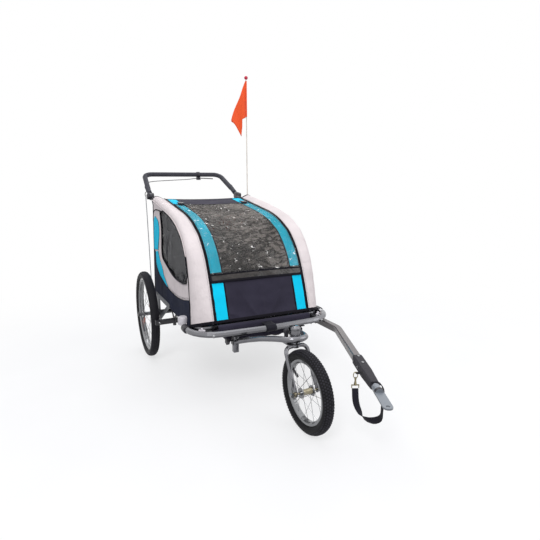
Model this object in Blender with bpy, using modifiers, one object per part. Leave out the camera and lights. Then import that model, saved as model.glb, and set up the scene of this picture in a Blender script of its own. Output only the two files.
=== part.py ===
"""Child bike trailer, an assembly of separate pieces in metres, Z up, front of the trailer toward -Y."""
import math
import bpy
import bmesh
from mathutils import Matrix, Vector

# Overall sizes. The rear axle lies at y = 0 while building and the ground at z = 0.
GAP = 0.0003
REAR_RADIUS = 0.2475
REAR_TRACK = 0.403
FRONT_RADIUS = 0.1725
REAR_TYRE_HEIGHT = 0.038
FRONT_TYRE_HEIGHT = 0.039
WHEEL_STEPS = 36
FRONT_AXLE_Y = -1.15
TYRE_HALF = 0.0235
STEER_Y = -1.06
STEER_REST = 0.04
SPOKE_RADIUS = 0.001

# Base frame
RAIL_Z = 0.352
RAIL_R = 0.0125
RAIL_X = 0.3147
RAIL_REAR_Y = 0.100
RAIL_FRONT_Y = -0.715
CROSS_R = 0.0105
CROSS_YS = (0.060, -0.050, -0.360)
BUMPER_R = 0.014
BUMPER_Z = 0.347
BUMPER_X = 0.352
BUMPER_FRONT_Y = -0.820
BUMPER_END_Y = -0.655
BUMPER_CORNER = 0.130

# Cabin
SIDE_X = 0.3305
SIDE_BOTTOM = 0.3365
SIDE_LEAN = 0.02575
CLOTH = 0.0025
REAR_Y = 0.103
HOOP_R = 0.011
HOOP_INSET = 0.0142
HOOP_REAR_Y = 0.088
BAND_X = 0.240
STRIPE_X = 0.1753
HOOD_PROFILE = (
    (0.120, 0.904), (-0.060, 0.878), (-0.217, 0.855), (-0.330, 0.837), (-0.423, 0.812),
    (-0.495, 0.781), (-0.556, 0.746), (-0.630, 0.670), (-0.679, 0.582), (-0.720, 0.480), (-0.755, 0.378))
SEAM_LOW = ((-0.651, 0.475), (-0.51, 0.449), (-0.361, 0.437), (-0.19, 0.447),
            (-0.059, 0.468), (0.03, 0.508), (0.103, 0.552))
WINDOW_LOW = ((-0.100, 0.838), (-0.076, 0.826), (-0.070, 0.800), (-0.082, 0.739),
              (-0.098, 0.665), (-0.122, 0.615), (-0.167, 0.583), (-0.254, 0.565),
              (-0.375, 0.549), (-0.511, 0.546), (-0.610, 0.550))
WINDOW_MARGIN = 0.014
FLOOR_FRONT_Y = -0.7825
FLOOR_CORNER = 0.115
WALL_TOP = 0.3462
WELL_X = 0.190
WELL_REAR_Y = -0.450
WELL_FRONT_Y = -0.745
WELL_Z = 0.275

# Front wheel arm
POST_X = 0.150
POST_Y = -0.765
POST_HALF = 0.0125
ARM_R = 0.0127
HEAD_R = 0.020
HEAD_LOW = 2 * FRONT_RADIUS + 0.005
HEAD_HIGH = HEAD_LOW + 0.060
STEERER_R = 0.0135
KNOB_Z = 0.292
LOCK_X = -0.0215
LOCK_Y = -1.0200
LOCK_EAR_TOP = HEAD_LOW + 0.010
LOCK_TRAVEL = 0.006
CAM_X = -0.0686

# Push handle
PIVOT_Y = 0.290
PIVOT_Z = 0.914
HANDLE_TOP_Y = 0.585
HANDLE_TOP_Z = 1.054
HANDLE_TUBE_R = 0.011
FOAM_R = 0.016
BRACKET_X = 0.279
DISC_HALF = 0.006
DISC_R = 0.022

# Tow arm
TOW_Z = 0.305
TOW_HALF = 0.016
TOW_BACK = (0.330, -0.450)
TOW_BEND = (0.336, -0.877)
TOW_END = (0.177, -1.266)
FLEX_END = (0.104, -1.445)
JOINT_END = (0.074, -1.498)
COUPLER_TIP = (0.036, -1.603)
JOINT_R = 0.015
RECEIVER_FRONT_Y = -0.700
RING_ALONG = 0.060

# Flag
FLAG_X = 0.3115
FLAG_Y = 0.163
FLAG_LOW = 0.852
FLAG_TOP = 1.640

PART = bpy.data.collections.new("Child_bike_trailer")
LOOKS = {
    "silver_tube": ((0.31, 0.31, 0.32), 0.34, 0.9),
    "black_steel": ((0.012, 0.012, 0.014), 0.45, 0.3),
    "grey_steel": ((0.13, 0.14, 0.15), 0.45, 0.8),
    "pewter_tube": ((0.15, 0.14, 0.14), 0.38, 0.8),
    "bright_steel": ((0.55, 0.55, 0.55), 0.25, 1.0),
    "rubber": ((0.018, 0.017, 0.02), 0.85, 0.0),
    "black_plastic": ((0.012, 0.012, 0.014), 0.5, 0.0),
    "foam": ((0.03, 0.03, 0.035), 0.9, 0.0),
    "light_cloth": ((0.73, 0.66, 0.67), 0.85, 0.0),
    "blue_cloth": ((0.0, 0.42, 0.75), 0.75, 0.0),
    "black_cloth": ((0.022, 0.024, 0.034), 0.85, 0.0),
    "mesh_cloth": ((0.05, 0.045, 0.045), 0.9, 0.0),
    "clear_film": ((0.75, 0.76, 0.78), 0.15, 0.0),
    "webbing": ((0.02, 0.02, 0.024), 0.8, 0.0),
    "orange_cloth": ((0.9, 0.09, 0.02), 0.7, 0.0),
    "pole": ((0.72, 0.66, 0.56), 0.5, 0.0),
    "cable_grey": ((0.25, 0.25, 0.26), 0.5, 0.0),
}


def even(start, end, count):
    return [start + (end - start) * k / count for k in range(count + 1)]


def look(name):
    """One material per kind of surface."""
    found = bpy.data.materials.get(name)
    if found:
        return found
    colour, rough, metal = LOOKS[name]
    made = bpy.data.materials.new(name)
    made.use_nodes = True
    shader = made.node_tree.nodes["Principled BSDF"]
    shader.inputs["Base Color"].default_value = (*colour, 1.0)
    shader.inputs["Roughness"].default_value = rough
    shader.inputs["Metallic"].default_value = metal
    made.diffuse_color = (*colour, 1.0)
    return made


def settle(mesh, matrix=None):
    """Object from a mesh, welded, placed and with its faces turned outward."""
    work = bmesh.new()
    work.from_mesh(mesh)
    bmesh.ops.remove_doubles(work, verts=work.verts, dist=1e-6)
    bmesh.ops.dissolve_degenerate(work, edges=work.edges, dist=1e-6)
    if matrix is not None:
        bmesh.ops.transform(work, matrix=matrix, verts=work.verts)
    bmesh.ops.recalc_face_normals(work, faces=work.faces)
    if work.calc_volume(signed=True) < 0:
        bmesh.ops.reverse_faces(work, faces=work.faces)
    work.to_mesh(mesh)
    work.free()
    item = bpy.data.objects.new("piece", mesh)
    bpy.context.scene.collection.objects.link(item)
    return item


def applied(item, matrix=None):
    """Turn a curve, or a mesh with modifiers, into a plain mesh object."""
    bpy.context.view_layer.update()
    graph = bpy.context.evaluated_depsgraph_get()
    mesh = bpy.data.meshes.new_from_object(item.evaluated_get(graph))
    bpy.data.objects.remove(item, do_unlink=True)
    return settle(mesh, matrix)


def linked(data):
    item = bpy.data.objects.new("piece", data)
    bpy.context.scene.collection.objects.link(item)
    return item


def box(x0, x1, y0, y1, z0, z1):
    work = bmesh.new()
    bmesh.ops.create_cube(work, size=1.0)
    size = Matrix.Diagonal((abs(x1 - x0), abs(y1 - y0), abs(z1 - z0), 1.0))
    middle = Matrix.Translation(((x0 + x1) / 2, (y0 + y1) / 2, (z0 + z1) / 2))
    mesh = bpy.data.meshes.new("piece")
    work.to_mesh(mesh)
    work.free()
    return settle(mesh, middle @ size)


def aim(start, along, up):
    """Matrix with Z along the piece and Y as near as it can be to up."""
    z = Vector(along).normalized()
    x = Vector(up).cross(z).normalized()
    y = z.cross(x)
    matrix = Matrix((x, y, z)).transposed().to_4x4()
    return Matrix.Translation(Vector(start)) @ matrix


def bar(start, end, across, rise, bevel, up):
    """Straight bar of rectangular section with its long edges bevelled."""
    start, end = Vector(start), Vector(end)
    length = (end - start).length
    work = bmesh.new()
    bmesh.ops.create_cube(work, size=1.0)
    bmesh.ops.scale(work, vec=(across, rise, length), verts=work.verts)
    bmesh.ops.translate(work, vec=(0, 0, length / 2), verts=work.verts)
    if bevel:
        edges = [e for e in work.edges if abs(e.verts[0].co.z - e.verts[1].co.z) > length / 2]
        bmesh.ops.bevel(work, geom=edges, offset=bevel, segments=1, affect="EDGES")
    mesh = bpy.data.meshes.new("piece")
    work.to_mesh(mesh)
    work.free()
    return settle(mesh, aim(start, end - start, up))


def rod(start, end, radius, sides=12):
    start, end = Vector(start), Vector(end)
    length = (end - start).length
    work = bmesh.new()
    bmesh.ops.create_cone(work, cap_ends=True, segments=sides, radius1=radius, radius2=radius, depth=length)
    bmesh.ops.translate(work, vec=(0, 0, length / 2), verts=work.verts)
    mesh = bpy.data.meshes.new("piece")
    work.to_mesh(mesh)
    work.free()
    up = (0, 0, 1) if abs((end - start).normalized().z) < 0.9 else (0, 1, 0)
    return settle(mesh, aim(start, end - start, up))


def tube(path, radius, sides, closed=False):
    """Round tube along a path: a curve with a bevel and filled caps."""
    curve = bpy.data.curves.new("path", "CURVE")
    curve.dimensions = "3D"
    curve.bevel_depth = radius
    curve.bevel_resolution = (sides - 4) // 2
    curve.use_fill_caps = not closed
    spline = curve.splines.new("POLY")
    spline.points.add(len(path) - 1)
    for k, point in enumerate(path):
        spline.points[k].co = (*point, 1.0)
    spline.use_cyclic_u = closed
    return applied(linked(curve))


def outline_curve(loops, thickness):
    curve = bpy.data.curves.new("outline", "CURVE")
    curve.dimensions = "2D"
    curve.fill_mode = "BOTH"
    curve.extrude = thickness / 2
    for loop in loops:
        spline = curve.splines.new("POLY")
        spline.points.add(len(loop) - 1)
        for k, point in enumerate(loop):
            spline.points[k].co = (point[0], point[1], 0.0, 1.0)
        spline.use_cyclic_u = True
    return curve


def flat(loops, thickness, matrix):
    """Flat piece from an outline and its holes, half its thickness to each side."""
    return applied(linked(outline_curve(loops, thickness)), matrix)


def rounded_square(half, bevel):
    h, b = half, bevel
    return [(h - b, -h), (h, b - h), (h, h - b), (h - b, h), (b - h, h), (-h, h - b), (-h, b - h), (b - h, -h)]


def box_tube(path, half, bevel, widths=None):
    """Square tube along a level path: a curve with a square outline as its section."""
    section = linked(outline_curve([rounded_square(half, bevel)], 0.0))
    section.data.fill_mode = "NONE"
    curve = bpy.data.curves.new("path", "CURVE")
    curve.dimensions = "3D"
    curve.twist_mode = "Z_UP"
    curve.bevel_mode = "OBJECT"
    curve.bevel_object = section
    curve.use_fill_caps = True
    spline = curve.splines.new("POLY")
    spline.points.add(len(path) - 1)
    for k, point in enumerate(path):
        spline.points[k].co = (*point, 1.0)
        spline.points[k].radius = widths[k] if widths else 1.0
    made = applied(linked(curve))
    bpy.data.objects.remove(section, do_unlink=True)
    return made


def sheet(rows, thick, offset):
    """Open grid of points given thickness by Solidify."""
    count, wide = len(rows), len(rows[0])
    work = bmesh.new()
    bmesh.ops.create_grid(work, x_segments=wide - 1, y_segments=count - 1, size=1.0)
    work.verts.ensure_lookup_table()
    order = sorted(work.verts, key=lambda v: (round(v.co.y, 5), round(v.co.x, 5)))
    for index, vertex in enumerate(order):
        vertex.co = Vector(rows[index // wide][index % wide])
    mesh = bpy.data.meshes.new("piece")
    work.to_mesh(mesh)
    work.free()
    item = linked(mesh)
    skin = item.modifiers.new("thickness", "SOLIDIFY")
    skin.thickness = thick
    skin.offset = offset
    return applied(item)


def strap(points, wide, thick, face):
    """Flat strap along a path, its face turned to a direction."""
    spots = [Vector(p) for p in points]
    rows = []
    for index, spot in enumerate(spots):
        before = spots[max(0, index - 1)]
        after = spots[min(len(spots) - 1, index + 1)]
        side = (after - before).normalized().cross(Vector(face)).normalized() * (wide / 2)
        rows.append([spot - side, spot + side])
    return sheet(rows, thick, 0.0)


def rounded(corners, radii, steps=5, closed=False):
    """Path through corners, each turned into an arc of its own radius."""
    out = []
    count = len(corners)
    for index, corner in enumerate(corners):
        here = Vector(corner)
        radius = radii[index]
        if not radius:
            out.append(here)
            continue
        back = (Vector(corners[index - 1]) - here).normalized()
        ahead = (Vector(corners[(index + 1) % count]) - here).normalized()
        angle = back.angle(ahead)
        centre = here + (back + ahead).normalized() * (radius / math.sin(angle / 2))
        reach = radius / math.tan(angle / 2)
        first = (here + back * reach - centre).normalized()
        last = (here + ahead * reach - centre).normalized()
        other = (last - first * last.dot(first)).normalized()
        for step in range(steps + 1):
            turn = (math.pi - angle) * step / steps
            out.append(centre + radius * (first * math.cos(turn) + other * math.sin(turn)))
    return out


def lathe(profile, start, axis, steps):
    """Turn an outline of (distance along the axis, radius) about an axis with Screw."""
    mesh = bpy.data.meshes.new("profile")
    vertices = [(radius, 0.0, along) for along, radius in profile]
    edges = [(k, k + 1) for k in range(len(vertices) - 1)]
    if min(radius for along, radius in profile) > 1e-7:
        edges.append((len(vertices) - 1, 0))
    mesh.from_pydata(vertices, edges, [])
    item = linked(mesh)
    turn = item.modifiers.new("turn", "SCREW")
    turn.steps = steps
    turn.render_steps = steps
    turn.use_merge_vertices = True
    turn.merge_threshold = 0.00001
    axis = Vector(axis).normalized()
    up = (0, 0, 1) if abs(axis.z) < 0.9 else (0, 1, 0)
    return applied(item, aim(start, axis, up))


def combine(base, tool, operation):
    """Exact boolean, worked out at once so that no cutter stays behind."""
    change = base.modifiers.new("combine", "BOOLEAN")
    change.operation = operation
    change.solver = "EXACT"
    change.object = tool
    bpy.context.view_layer.update()
    graph = bpy.context.evaluated_depsgraph_get()
    mesh = bpy.data.meshes.new_from_object(base.evaluated_get(graph))
    base.modifiers.clear()
    base.data = mesh
    bpy.data.objects.remove(tool, do_unlink=True)
    return base


def fuse(pieces):
    base = pieces[0]
    for tool in pieces[1:]:
        combine(base, tool, "UNION")
    return base


def cut(base, tools):
    for tool in tools:
        combine(base, tool, "DIFFERENCE")
    return base


def gather(pieces):
    """Separate shells in one mesh, used only as a tool for a union."""
    work = bmesh.new()
    for piece in pieces:
        work.from_mesh(piece.data)
        bpy.data.objects.remove(piece, do_unlink=True)
    mesh = bpy.data.meshes.new("piece")
    work.to_mesh(mesh)
    work.free()
    return linked(mesh)


def name_piece(item, name, material, pivot=None):
    """Clean the mesh, name it, give it its material, origin and shading."""
    work = bmesh.new()
    work.from_mesh(item.data)
    bmesh.ops.remove_doubles(work, verts=work.verts, dist=1e-6)
    bmesh.ops.dissolve_degenerate(work, edges=work.edges, dist=1e-6)
    bmesh.ops.recalc_face_normals(work, faces=work.faces)
    if work.calc_volume(signed=True) < 0:
        bmesh.ops.reverse_faces(work, faces=work.faces)
    work.to_mesh(item.data)
    work.free()
    item.name = name
    item.data.name = name
    item.data.materials.clear()
    item.data.materials.append(look(material))
    item.data.shade_smooth()
    item.data.set_sharp_from_angle(angle=math.radians(38))
    if pivot:
        item.data.transform(Matrix.Translation(-Vector(pivot)))
        item.location = Vector(pivot)
    bpy.context.scene.collection.objects.unlink(item)
    PART.objects.link(item)
    return item


def side_x(z):
    """Outer face of the cabin side, leaning in toward the roof."""
    return SIDE_X - (z - SIDE_BOTTOM) * SIDE_LEAN


def smooth_step(value):
    value = min(1.0, max(0.0, value))
    return value * value * (3 - 2 * value)


def hood_curve(samples_each=10):
    """Smooth curve through the hood profile, as points with even spacing."""
    points = [Vector(p) for p in HOOD_PROFILE]
    points = [points[0] * 2 - points[1]] + points + [points[-1] * 2 - points[-2]]
    fine = []
    for k in range(1, len(points) - 2):
        p0, p1, p2, p3 = points[k - 1], points[k], points[k + 1], points[k + 2]
        for s in range(samples_each):
            t = s / samples_each
            fine.append(0.5 * (2 * p1 + (p2 - p0) * t + (2 * p0 - 5 * p1 + 4 * p2 - p3) * t * t
                               + (3 * p1 - p0 - 3 * p2 + p3) * t * t * t))
    fine.append(points[-2])
    return fine


HOOD_FINE = hood_curve()
HOOD_LENGTHS = [0.0]
for first_point, second_point in zip(HOOD_FINE, HOOD_FINE[1:]):
    HOOD_LENGTHS.append(HOOD_LENGTHS[-1] + (second_point - first_point).length)
HOOD_LENGTH = HOOD_LENGTHS[-1]


def hood_spot(t):
    """Point and outward normal in the y-z plane at a fraction t of the hood's length."""
    goal = max(0.0, min(1.0, t)) * HOOD_LENGTH
    index = 0
    while index < len(HOOD_LENGTHS) - 2 and HOOD_LENGTHS[index + 1] < goal:
        index += 1
    a, b = HOOD_FINE[index], HOOD_FINE[index + 1]
    part = (goal - HOOD_LENGTHS[index]) / (HOOD_LENGTHS[index + 1] - HOOD_LENGTHS[index])
    point = a.lerp(b, part)
    before = HOOD_FINE[max(0, index - 2)]
    after = HOOD_FINE[min(len(HOOD_FINE) - 1, index + 3)]
    along = (after - before).normalized()
    return point, Vector((along.y, -along.x))


def corner_radius(t):
    return 0.024 + 0.070 * max(0.0, (t - 0.55) / 0.45) ** 2


def edge_lift(t):
    return 0.018 * (1 - smooth_step((t - 0.25) / 0.6))


def centre_bulge(t):
    return -0.015 + 0.027 * smooth_step((t - 0.35) / 0.5)


def hood_point(t, across, depth=0.0, sag=1.0):
    """Point of the hood. across up to 1 is the top as a fraction of the corner start, above 1 the corner arc."""
    spot, normal = hood_spot(t)
    radius, lift = corner_radius(t), edge_lift(t)
    seam = spot + normal * (lift - radius)
    wide = side_x(seam.y)
    start = wide - radius
    if across <= 1.0:
        x = start * across
        if x < BAND_X:
            rise = centre_bulge(t) * sag * (1 - (x / BAND_X) ** 2)
        else:
            rise = lift * smooth_step((x - BAND_X) / max(0.001, start - BAND_X))
        flat = spot + normal * (rise - depth)
        return Vector((x, flat.x, flat.y))
    turn = (across - 1.0) * math.pi / 2
    reach = radius - depth
    flat = spot + normal * (lift - radius + reach * math.cos(turn))
    return Vector((start + reach * math.sin(turn), flat.x, flat.y))


def hood_at_x(t, x, depth=0.0, sag=1.0):
    spot, normal = hood_spot(t)
    seam = spot + normal * (edge_lift(t) - corner_radius(t))
    start = side_x(seam.y) - corner_radius(t)
    return hood_point(t, x / start, depth, sag)


STATIONS = [k / 24 for k in range(25)]


def hood_sheet(stations, spots, thick):
    """Sheet of the hood between given cross positions, its thickness on the inside."""
    rows = [spots(t) for t in stations]
    middle = Vector(rows[len(rows) // 2][0]), Vector(rows[len(rows) // 2][1]), Vector(rows[len(rows) // 2 + 1][0])
    outward = (middle[1] - middle[0]).cross(middle[2] - middle[0])
    return sheet(rows, thick, -1.0 if outward.z - outward.y > 0 else 1.0)


def seam_points(depth=0.0):
    """Seam line between hood and side, from the rear to the front bottom, in y and z."""
    out = []
    for t in STATIONS:
        spot, normal = hood_spot(t)
        out.append(spot + normal * (edge_lift(t) - corner_radius(t) - depth))
    return out


def seam_at_height(z, depth):
    """Y of the seam at a height on its front stretch."""
    points = [p for p in seam_points(depth) if p.x < -0.3]
    for a, b in zip(points, points[1:]):
        if b.y <= z <= a.y:
            return a.x + (b.x - a.x) * (a.y - z) / (a.y - b.y)
    return points[-1].x


def window_outline():
    """Window opening, whose top and front follow the hood seam."""
    upper = []
    for t in even(0.775, 0.260, 8):
        spot, normal = hood_spot(t)
        p = spot + normal * (edge_lift(t) - corner_radius(t) - WINDOW_MARGIN)
        upper.append((p.x, p.y))
    return list(WINDOW_LOW) + upper


def plate_yz(outline, holes, x_outer, thick, sign=1):
    """Flat piece with holes in the y-z plane, leaning with the cabin side when x_outer is a function."""
    item = flat([outline] + list(holes), 1.0, Matrix.Identity(4))
    for v in item.data.vertices:
        y, z, level = v.co.x, v.co.y, v.co.z
        outer = x_outer(z) if callable(x_outer) else x_outer
        v.co = (sign * (outer - (thick if level < 0 else 0.0)), y, z)
    mesh = item.data.copy()
    bpy.data.objects.remove(item, do_unlink=True)
    return settle(mesh)


def base_frame():
    loop = rounded([(RAIL_X, RAIL_REAR_Y, RAIL_Z), (RAIL_X, RAIL_FRONT_Y, RAIL_Z),
                    (-RAIL_X, RAIL_FRONT_Y, RAIL_Z), (-RAIL_X, RAIL_REAR_Y, RAIL_Z)], [0, 0.05, 0.05, 0], 4)
    frame = tube(loop, RAIL_R, 10)
    pieces = [frame]
    for y in CROSS_YS:
        pieces.append(rod((-RAIL_X, y, RAIL_Z), (RAIL_X, y, RAIL_Z), CROSS_R, 8))
    name_piece(fuse(pieces), "base_frame", "silver_tube")


def bumper_bar():
    x, r = BUMPER_X, BUMPER_CORNER
    path = rounded([(x, BUMPER_END_Y, BUMPER_Z), (x, BUMPER_FRONT_Y + 0.012, BUMPER_Z),
                    (0, BUMPER_FRONT_Y - 0.008, BUMPER_Z), (-x, BUMPER_FRONT_Y + 0.012, BUMPER_Z),
                    (-x, BUMPER_END_Y, BUMPER_Z)], [0, r, 1.2, r, 0], 6)
    rail = tube(path, BUMPER_R, 8)
    lugs = [box(s * 0.262, s * 0.286, RAIL_FRONT_Y - RAIL_R - GAP, -0.790, 0.341, 0.353) for s in (-1, 1)]
    name_piece(fuse([rail] + lugs), "bumper_bar", "silver_tube")


def rear_axle_gear():
    z = REAR_RADIUS
    beam = rod((-0.332, 0, z), (0.332, 0, z), 0.0135, 12)
    outline = [(0.050, 0.3610), (-0.270, 0.3610), (-0.270, 0.3440),
               (-0.026, z - 0.0425), (0.024, z - 0.0425), (0.050, z - 0.0155)]
    hole = [(-0.034, 0.334), (-0.205, 0.334), (-0.034, z - 0.0075)]
    plates = [plate_yz(outline, [hole], 0.3338, 0.003, sign) for sign in (-1, 1)]
    bores = [rod((s * 0.24, 0, z), (s * 0.34, 0, z), 0.0078, 12) for s in (-1, 1)]
    name_piece(cut(fuse([beam] + plates), bores), "axle_beam", "grey_steel")


def guard_bar():
    z, y, h = 0.270, -0.275, 0.0125
    pieces = [bar((-0.41, y, z), (0.41, y, z), 2 * h, 2 * h, 0.003, (0, 0, 1))]
    for s in (-1, 1):
        outline = [(y - 0.075, 0.3362), (y - 0.060, 0.3362), (y - 0.008, z + 0.022), (y + 0.008, z + 0.022),
                   (y + 0.060, 0.3362), (y + 0.075, 0.3362), (y + 0.018, z - 0.004), (y - 0.018, z - 0.004)]
        pieces.append(plate_yz(outline, [], 0.312, 0.003, s))
    pieces.append(rod((-0.31, y, z - 0.026), (-0.31, y, z), 0.009, 12))
    name_piece(fuse(pieces), "guard_bar", "black_steel")


def receivers():
    top, low, wall = 0.3325, 0.272, 0.003
    inner = POST_HALF + GAP
    outer = inner + wall
    for side, s in (("left", 1), ("right", -1)):
        cx = s * POST_X
        sleeve = box(cx - outer, cx + outer, POST_Y - 0.0135, POST_Y + outer, low, top)
        hollow = box(cx - inner, cx + inner, POST_Y - 0.03, POST_Y + inner, low - 0.01, top - 0.0025)
        plate = box(cx - 0.030, cx + 0.030, BUMPER_FRONT_Y - 0.008, POST_Y + outer, 0.3297, 0.3325)
        relief = box(s * (POST_X - outer - 0.01), s * (POST_X - inner + 0.001),
                     POST_Y - 0.03, POST_Y + 0.003, low - 0.01, 0.306)
        holder = cut(fuse([sleeve, plate]), [hollow, relief])
        cut(holder, [rod((s * 0.155, POST_Y, KNOB_Z), (s * 0.19, POST_Y, KNOB_Z), 0.0038, 12)])
        name_piece(holder, "wheel_receiver_" + side, "black_steel")


def arm_height(distance):
    """Height of the arm tube by its distance from the steering axis, which keeps it clear of the tyre."""
    table = ((0.0, 0.027), (0.05, 0.025), (0.10, 0.016), (0.15, 0.002), (0.20, -0.020),
             (0.26, -0.048), (0.32, -0.064))
    for (d0, z0), (d1, z1) in zip(table, table[1:]):
        if distance <= d1:
            return HEAD_LOW + z0 + (z1 - z0) * (distance - d0) / (d1 - d0)
    return HEAD_LOW + table[-1][1]


def wheel_arm():
    centre = Vector((0, -1.038))
    nose = 0.052
    end = Vector((POST_X, -0.772))
    reach = end - centre
    tangent = math.atan2(reach.y, reach.x) - math.acos(nose / reach.length)
    half = [centre + nose * Vector((math.cos(a), math.sin(a))) for a in even(-math.pi / 2, tangent, 5)]
    half += [half[-1].lerp(end, k / 5) for k in range(1, 6)]
    flat = [Vector((-p.x, p.y)) for p in reversed(half[1:])] + half
    path = [(p.x, p.y, arm_height(math.hypot(p.x, p.y - STEER_Y))) for p in flat]
    legs = tube(path, ARM_R, 8)
    head = rod((0, STEER_Y, HEAD_LOW), (0, STEER_Y, HEAD_HIGH), HEAD_R, 20)
    posts = []
    for s in (-1, 1):
        low, high = (s * POST_X, POST_Y, 0.235), (s * POST_X, POST_Y, 0.3292)
        posts.append(bar(low, high, 2 * POST_HALF, 2 * POST_HALF, 0.002, (0, 1, 0)))
    lock = box(-0.033, -0.010, STEER_Y + 0.008, STEER_Y + 0.053, HEAD_LOW + 0.0015, LOCK_EAR_TOP)
    arm = fuse([legs, head, lock] + posts)
    bore = rod((0, STEER_Y, HEAD_LOW - 0.01), (0, STEER_Y, HEAD_HIGH + 0.01), STEERER_R + GAP, 20)
    pin_hole = rod((LOCK_X, LOCK_Y, HEAD_LOW - 0.01), (LOCK_X, LOCK_Y, LOCK_EAR_TOP + 0.02), 0.0043, 12)
    hollows = [box(s * POST_X - 0.0105, s * POST_X + 0.0105, POST_Y - 0.0105, POST_Y + 0.0105, 0.23, 0.262)
               for s in (-1, 1)]
    threads = [rod((s * 0.154, POST_Y, KNOB_Z), (s * 0.17, POST_Y, KNOB_Z), 0.0038, 12) for s in (-1, 1)]
    name_piece(cut(arm, [bore, pin_hole] + hollows + threads), "wheel_arm", "silver_tube")


def star_profile(points, radius, dent, steps):
    """Outline of a star knob."""
    out = []
    for k in range(steps):
        a = 2 * math.pi * k / steps
        out.append(((radius - dent * (0.5 - 0.5 * math.cos(points * a))) * math.cos(a),
                    (radius - dent * (0.5 - 0.5 * math.cos(points * a))) * math.sin(a)))
    return out


def star_knob(name, centre, along, radius, thick, shaft, shaft_r):
    """Knob with lobes on a threaded shaft. along points from the shaft to the knob."""
    centre, along = Vector(centre), Vector(along)
    up = (0, 0, 1) if abs(along.z) < 0.5 else (0, 1, 0)
    shape = star_profile(5, radius, radius * 0.22, 20)
    head = flat([shape], thick, aim(centre + along * thick / 2, along, up))
    stem = rod(centre - along * shaft, centre + along * thick * 0.4, shaft_r, 10)
    name_piece(fuse([head, stem]), name, "black_plastic", tuple(centre))


def receiver_knobs():
    """Knobs that clamp the wheel arm, and the swivel lock, which stands raised."""
    for side, s in (("left", 1), ("right", -1)):
        spot = (s * 0.182, POST_Y, KNOB_Z)
        star_knob("receiver_knob_" + side, spot, (s, 0, 0), 0.016, 0.014, 0.0265, 0.0033)
    rise = LOCK_TRAVEL + GAP
    profile = [(-0.0095, 0), (-0.0095, 0.0039), (rise, 0.0039), (rise, 0.0090), (0.022, 0.0090), (0.025, 0.0115),
               (0.040, 0.0115), (0.046, 0.008), (0.047, 0)]
    knob = lathe(profile, (LOCK_X, LOCK_Y, LOCK_EAR_TOP), (0, 0, 1), 12)
    name_piece(knob, "swivel_lock_knob", "black_plastic", (LOCK_X, LOCK_Y, LOCK_EAR_TOP))


def turned(item):
    """The fork group stands a little to one side at rest, as in the photo."""
    move = Matrix.Translation((0, STEER_Y, 0)) @ Matrix.Rotation(STEER_REST, 4, "Z")
    item.data.transform(move @ Matrix.Translation((0, -STEER_Y, 0)))
    return item


def turned_point(point):
    move = Matrix.Translation((0, STEER_Y, 0)) @ Matrix.Rotation(STEER_REST, 4, "Z")
    return tuple(move @ Matrix.Translation((0, -STEER_Y, 0)) @ Vector(point))


def fork():
    low, high, y, z = HEAD_LOW, HEAD_HIGH, FRONT_AXLE_Y, FRONT_RADIUS
    steerer = lathe([(low - 0.016, 0), (low - 0.016, 0.018), (low - 0.011, 0.0215), (low - GAP, 0.0215),
                     (low - GAP, STEERER_R), (high + GAP, STEERER_R), (high + GAP, 0.0215),
                     (high + 0.007, 0.0215), (high + 0.013, 0.0150), (high + 0.015, 0)],
                    (0, STEER_Y, 0), (0, 0, 1), 20)
    outline = [(y + 0.013, z + 0.0275), (y - 0.002, z + 0.0255), (y - 0.010, z + 0.0155), (y - 0.013, z),
               (y - 0.009, z - 0.0095), (y, z - 0.0130), (y + 0.009, z - 0.0095), (y + 0.013, z)]
    legs = []
    for s in (-1, 1):
        path = rounded([(s * 0.006, STEER_Y - 0.002, low - 0.0098), (s * 0.051, STEER_Y - 0.004, low - 0.0115),
                        (s * 0.0515, y + 0.021, z + 0.0405), (s * 0.0505, y + 0.007, z + 0.0175)],
                       [0, 0.024, 0.2, 0], 4)
        legs.append(tube(path, 0.0088, 8))
        legs.append(plate_yz(outline, [], 0.0525, 0.004, s))
    lock_ear = box(-0.034, -0.010, STEER_Y + 0.008, STEER_Y + 0.052, low - 0.0068, low - 2 * GAP)
    body = fuse([steerer] + legs + [lock_ear])
    cut(body, [rod((-0.07, FRONT_AXLE_Y, FRONT_RADIUS), (0.07, FRONT_AXLE_Y, FRONT_RADIUS), 0.0053, 12)])
    turned(body)
    cut(body, [box(LOCK_X - 0.0044, LOCK_X + 0.0044, LOCK_Y - 0.0044, LOCK_Y + 0.02, low - 0.02, low + 0.01)])
    name_piece(body, "fork", "silver_tube", (0, STEER_Y, HEAD_LOW))


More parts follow.
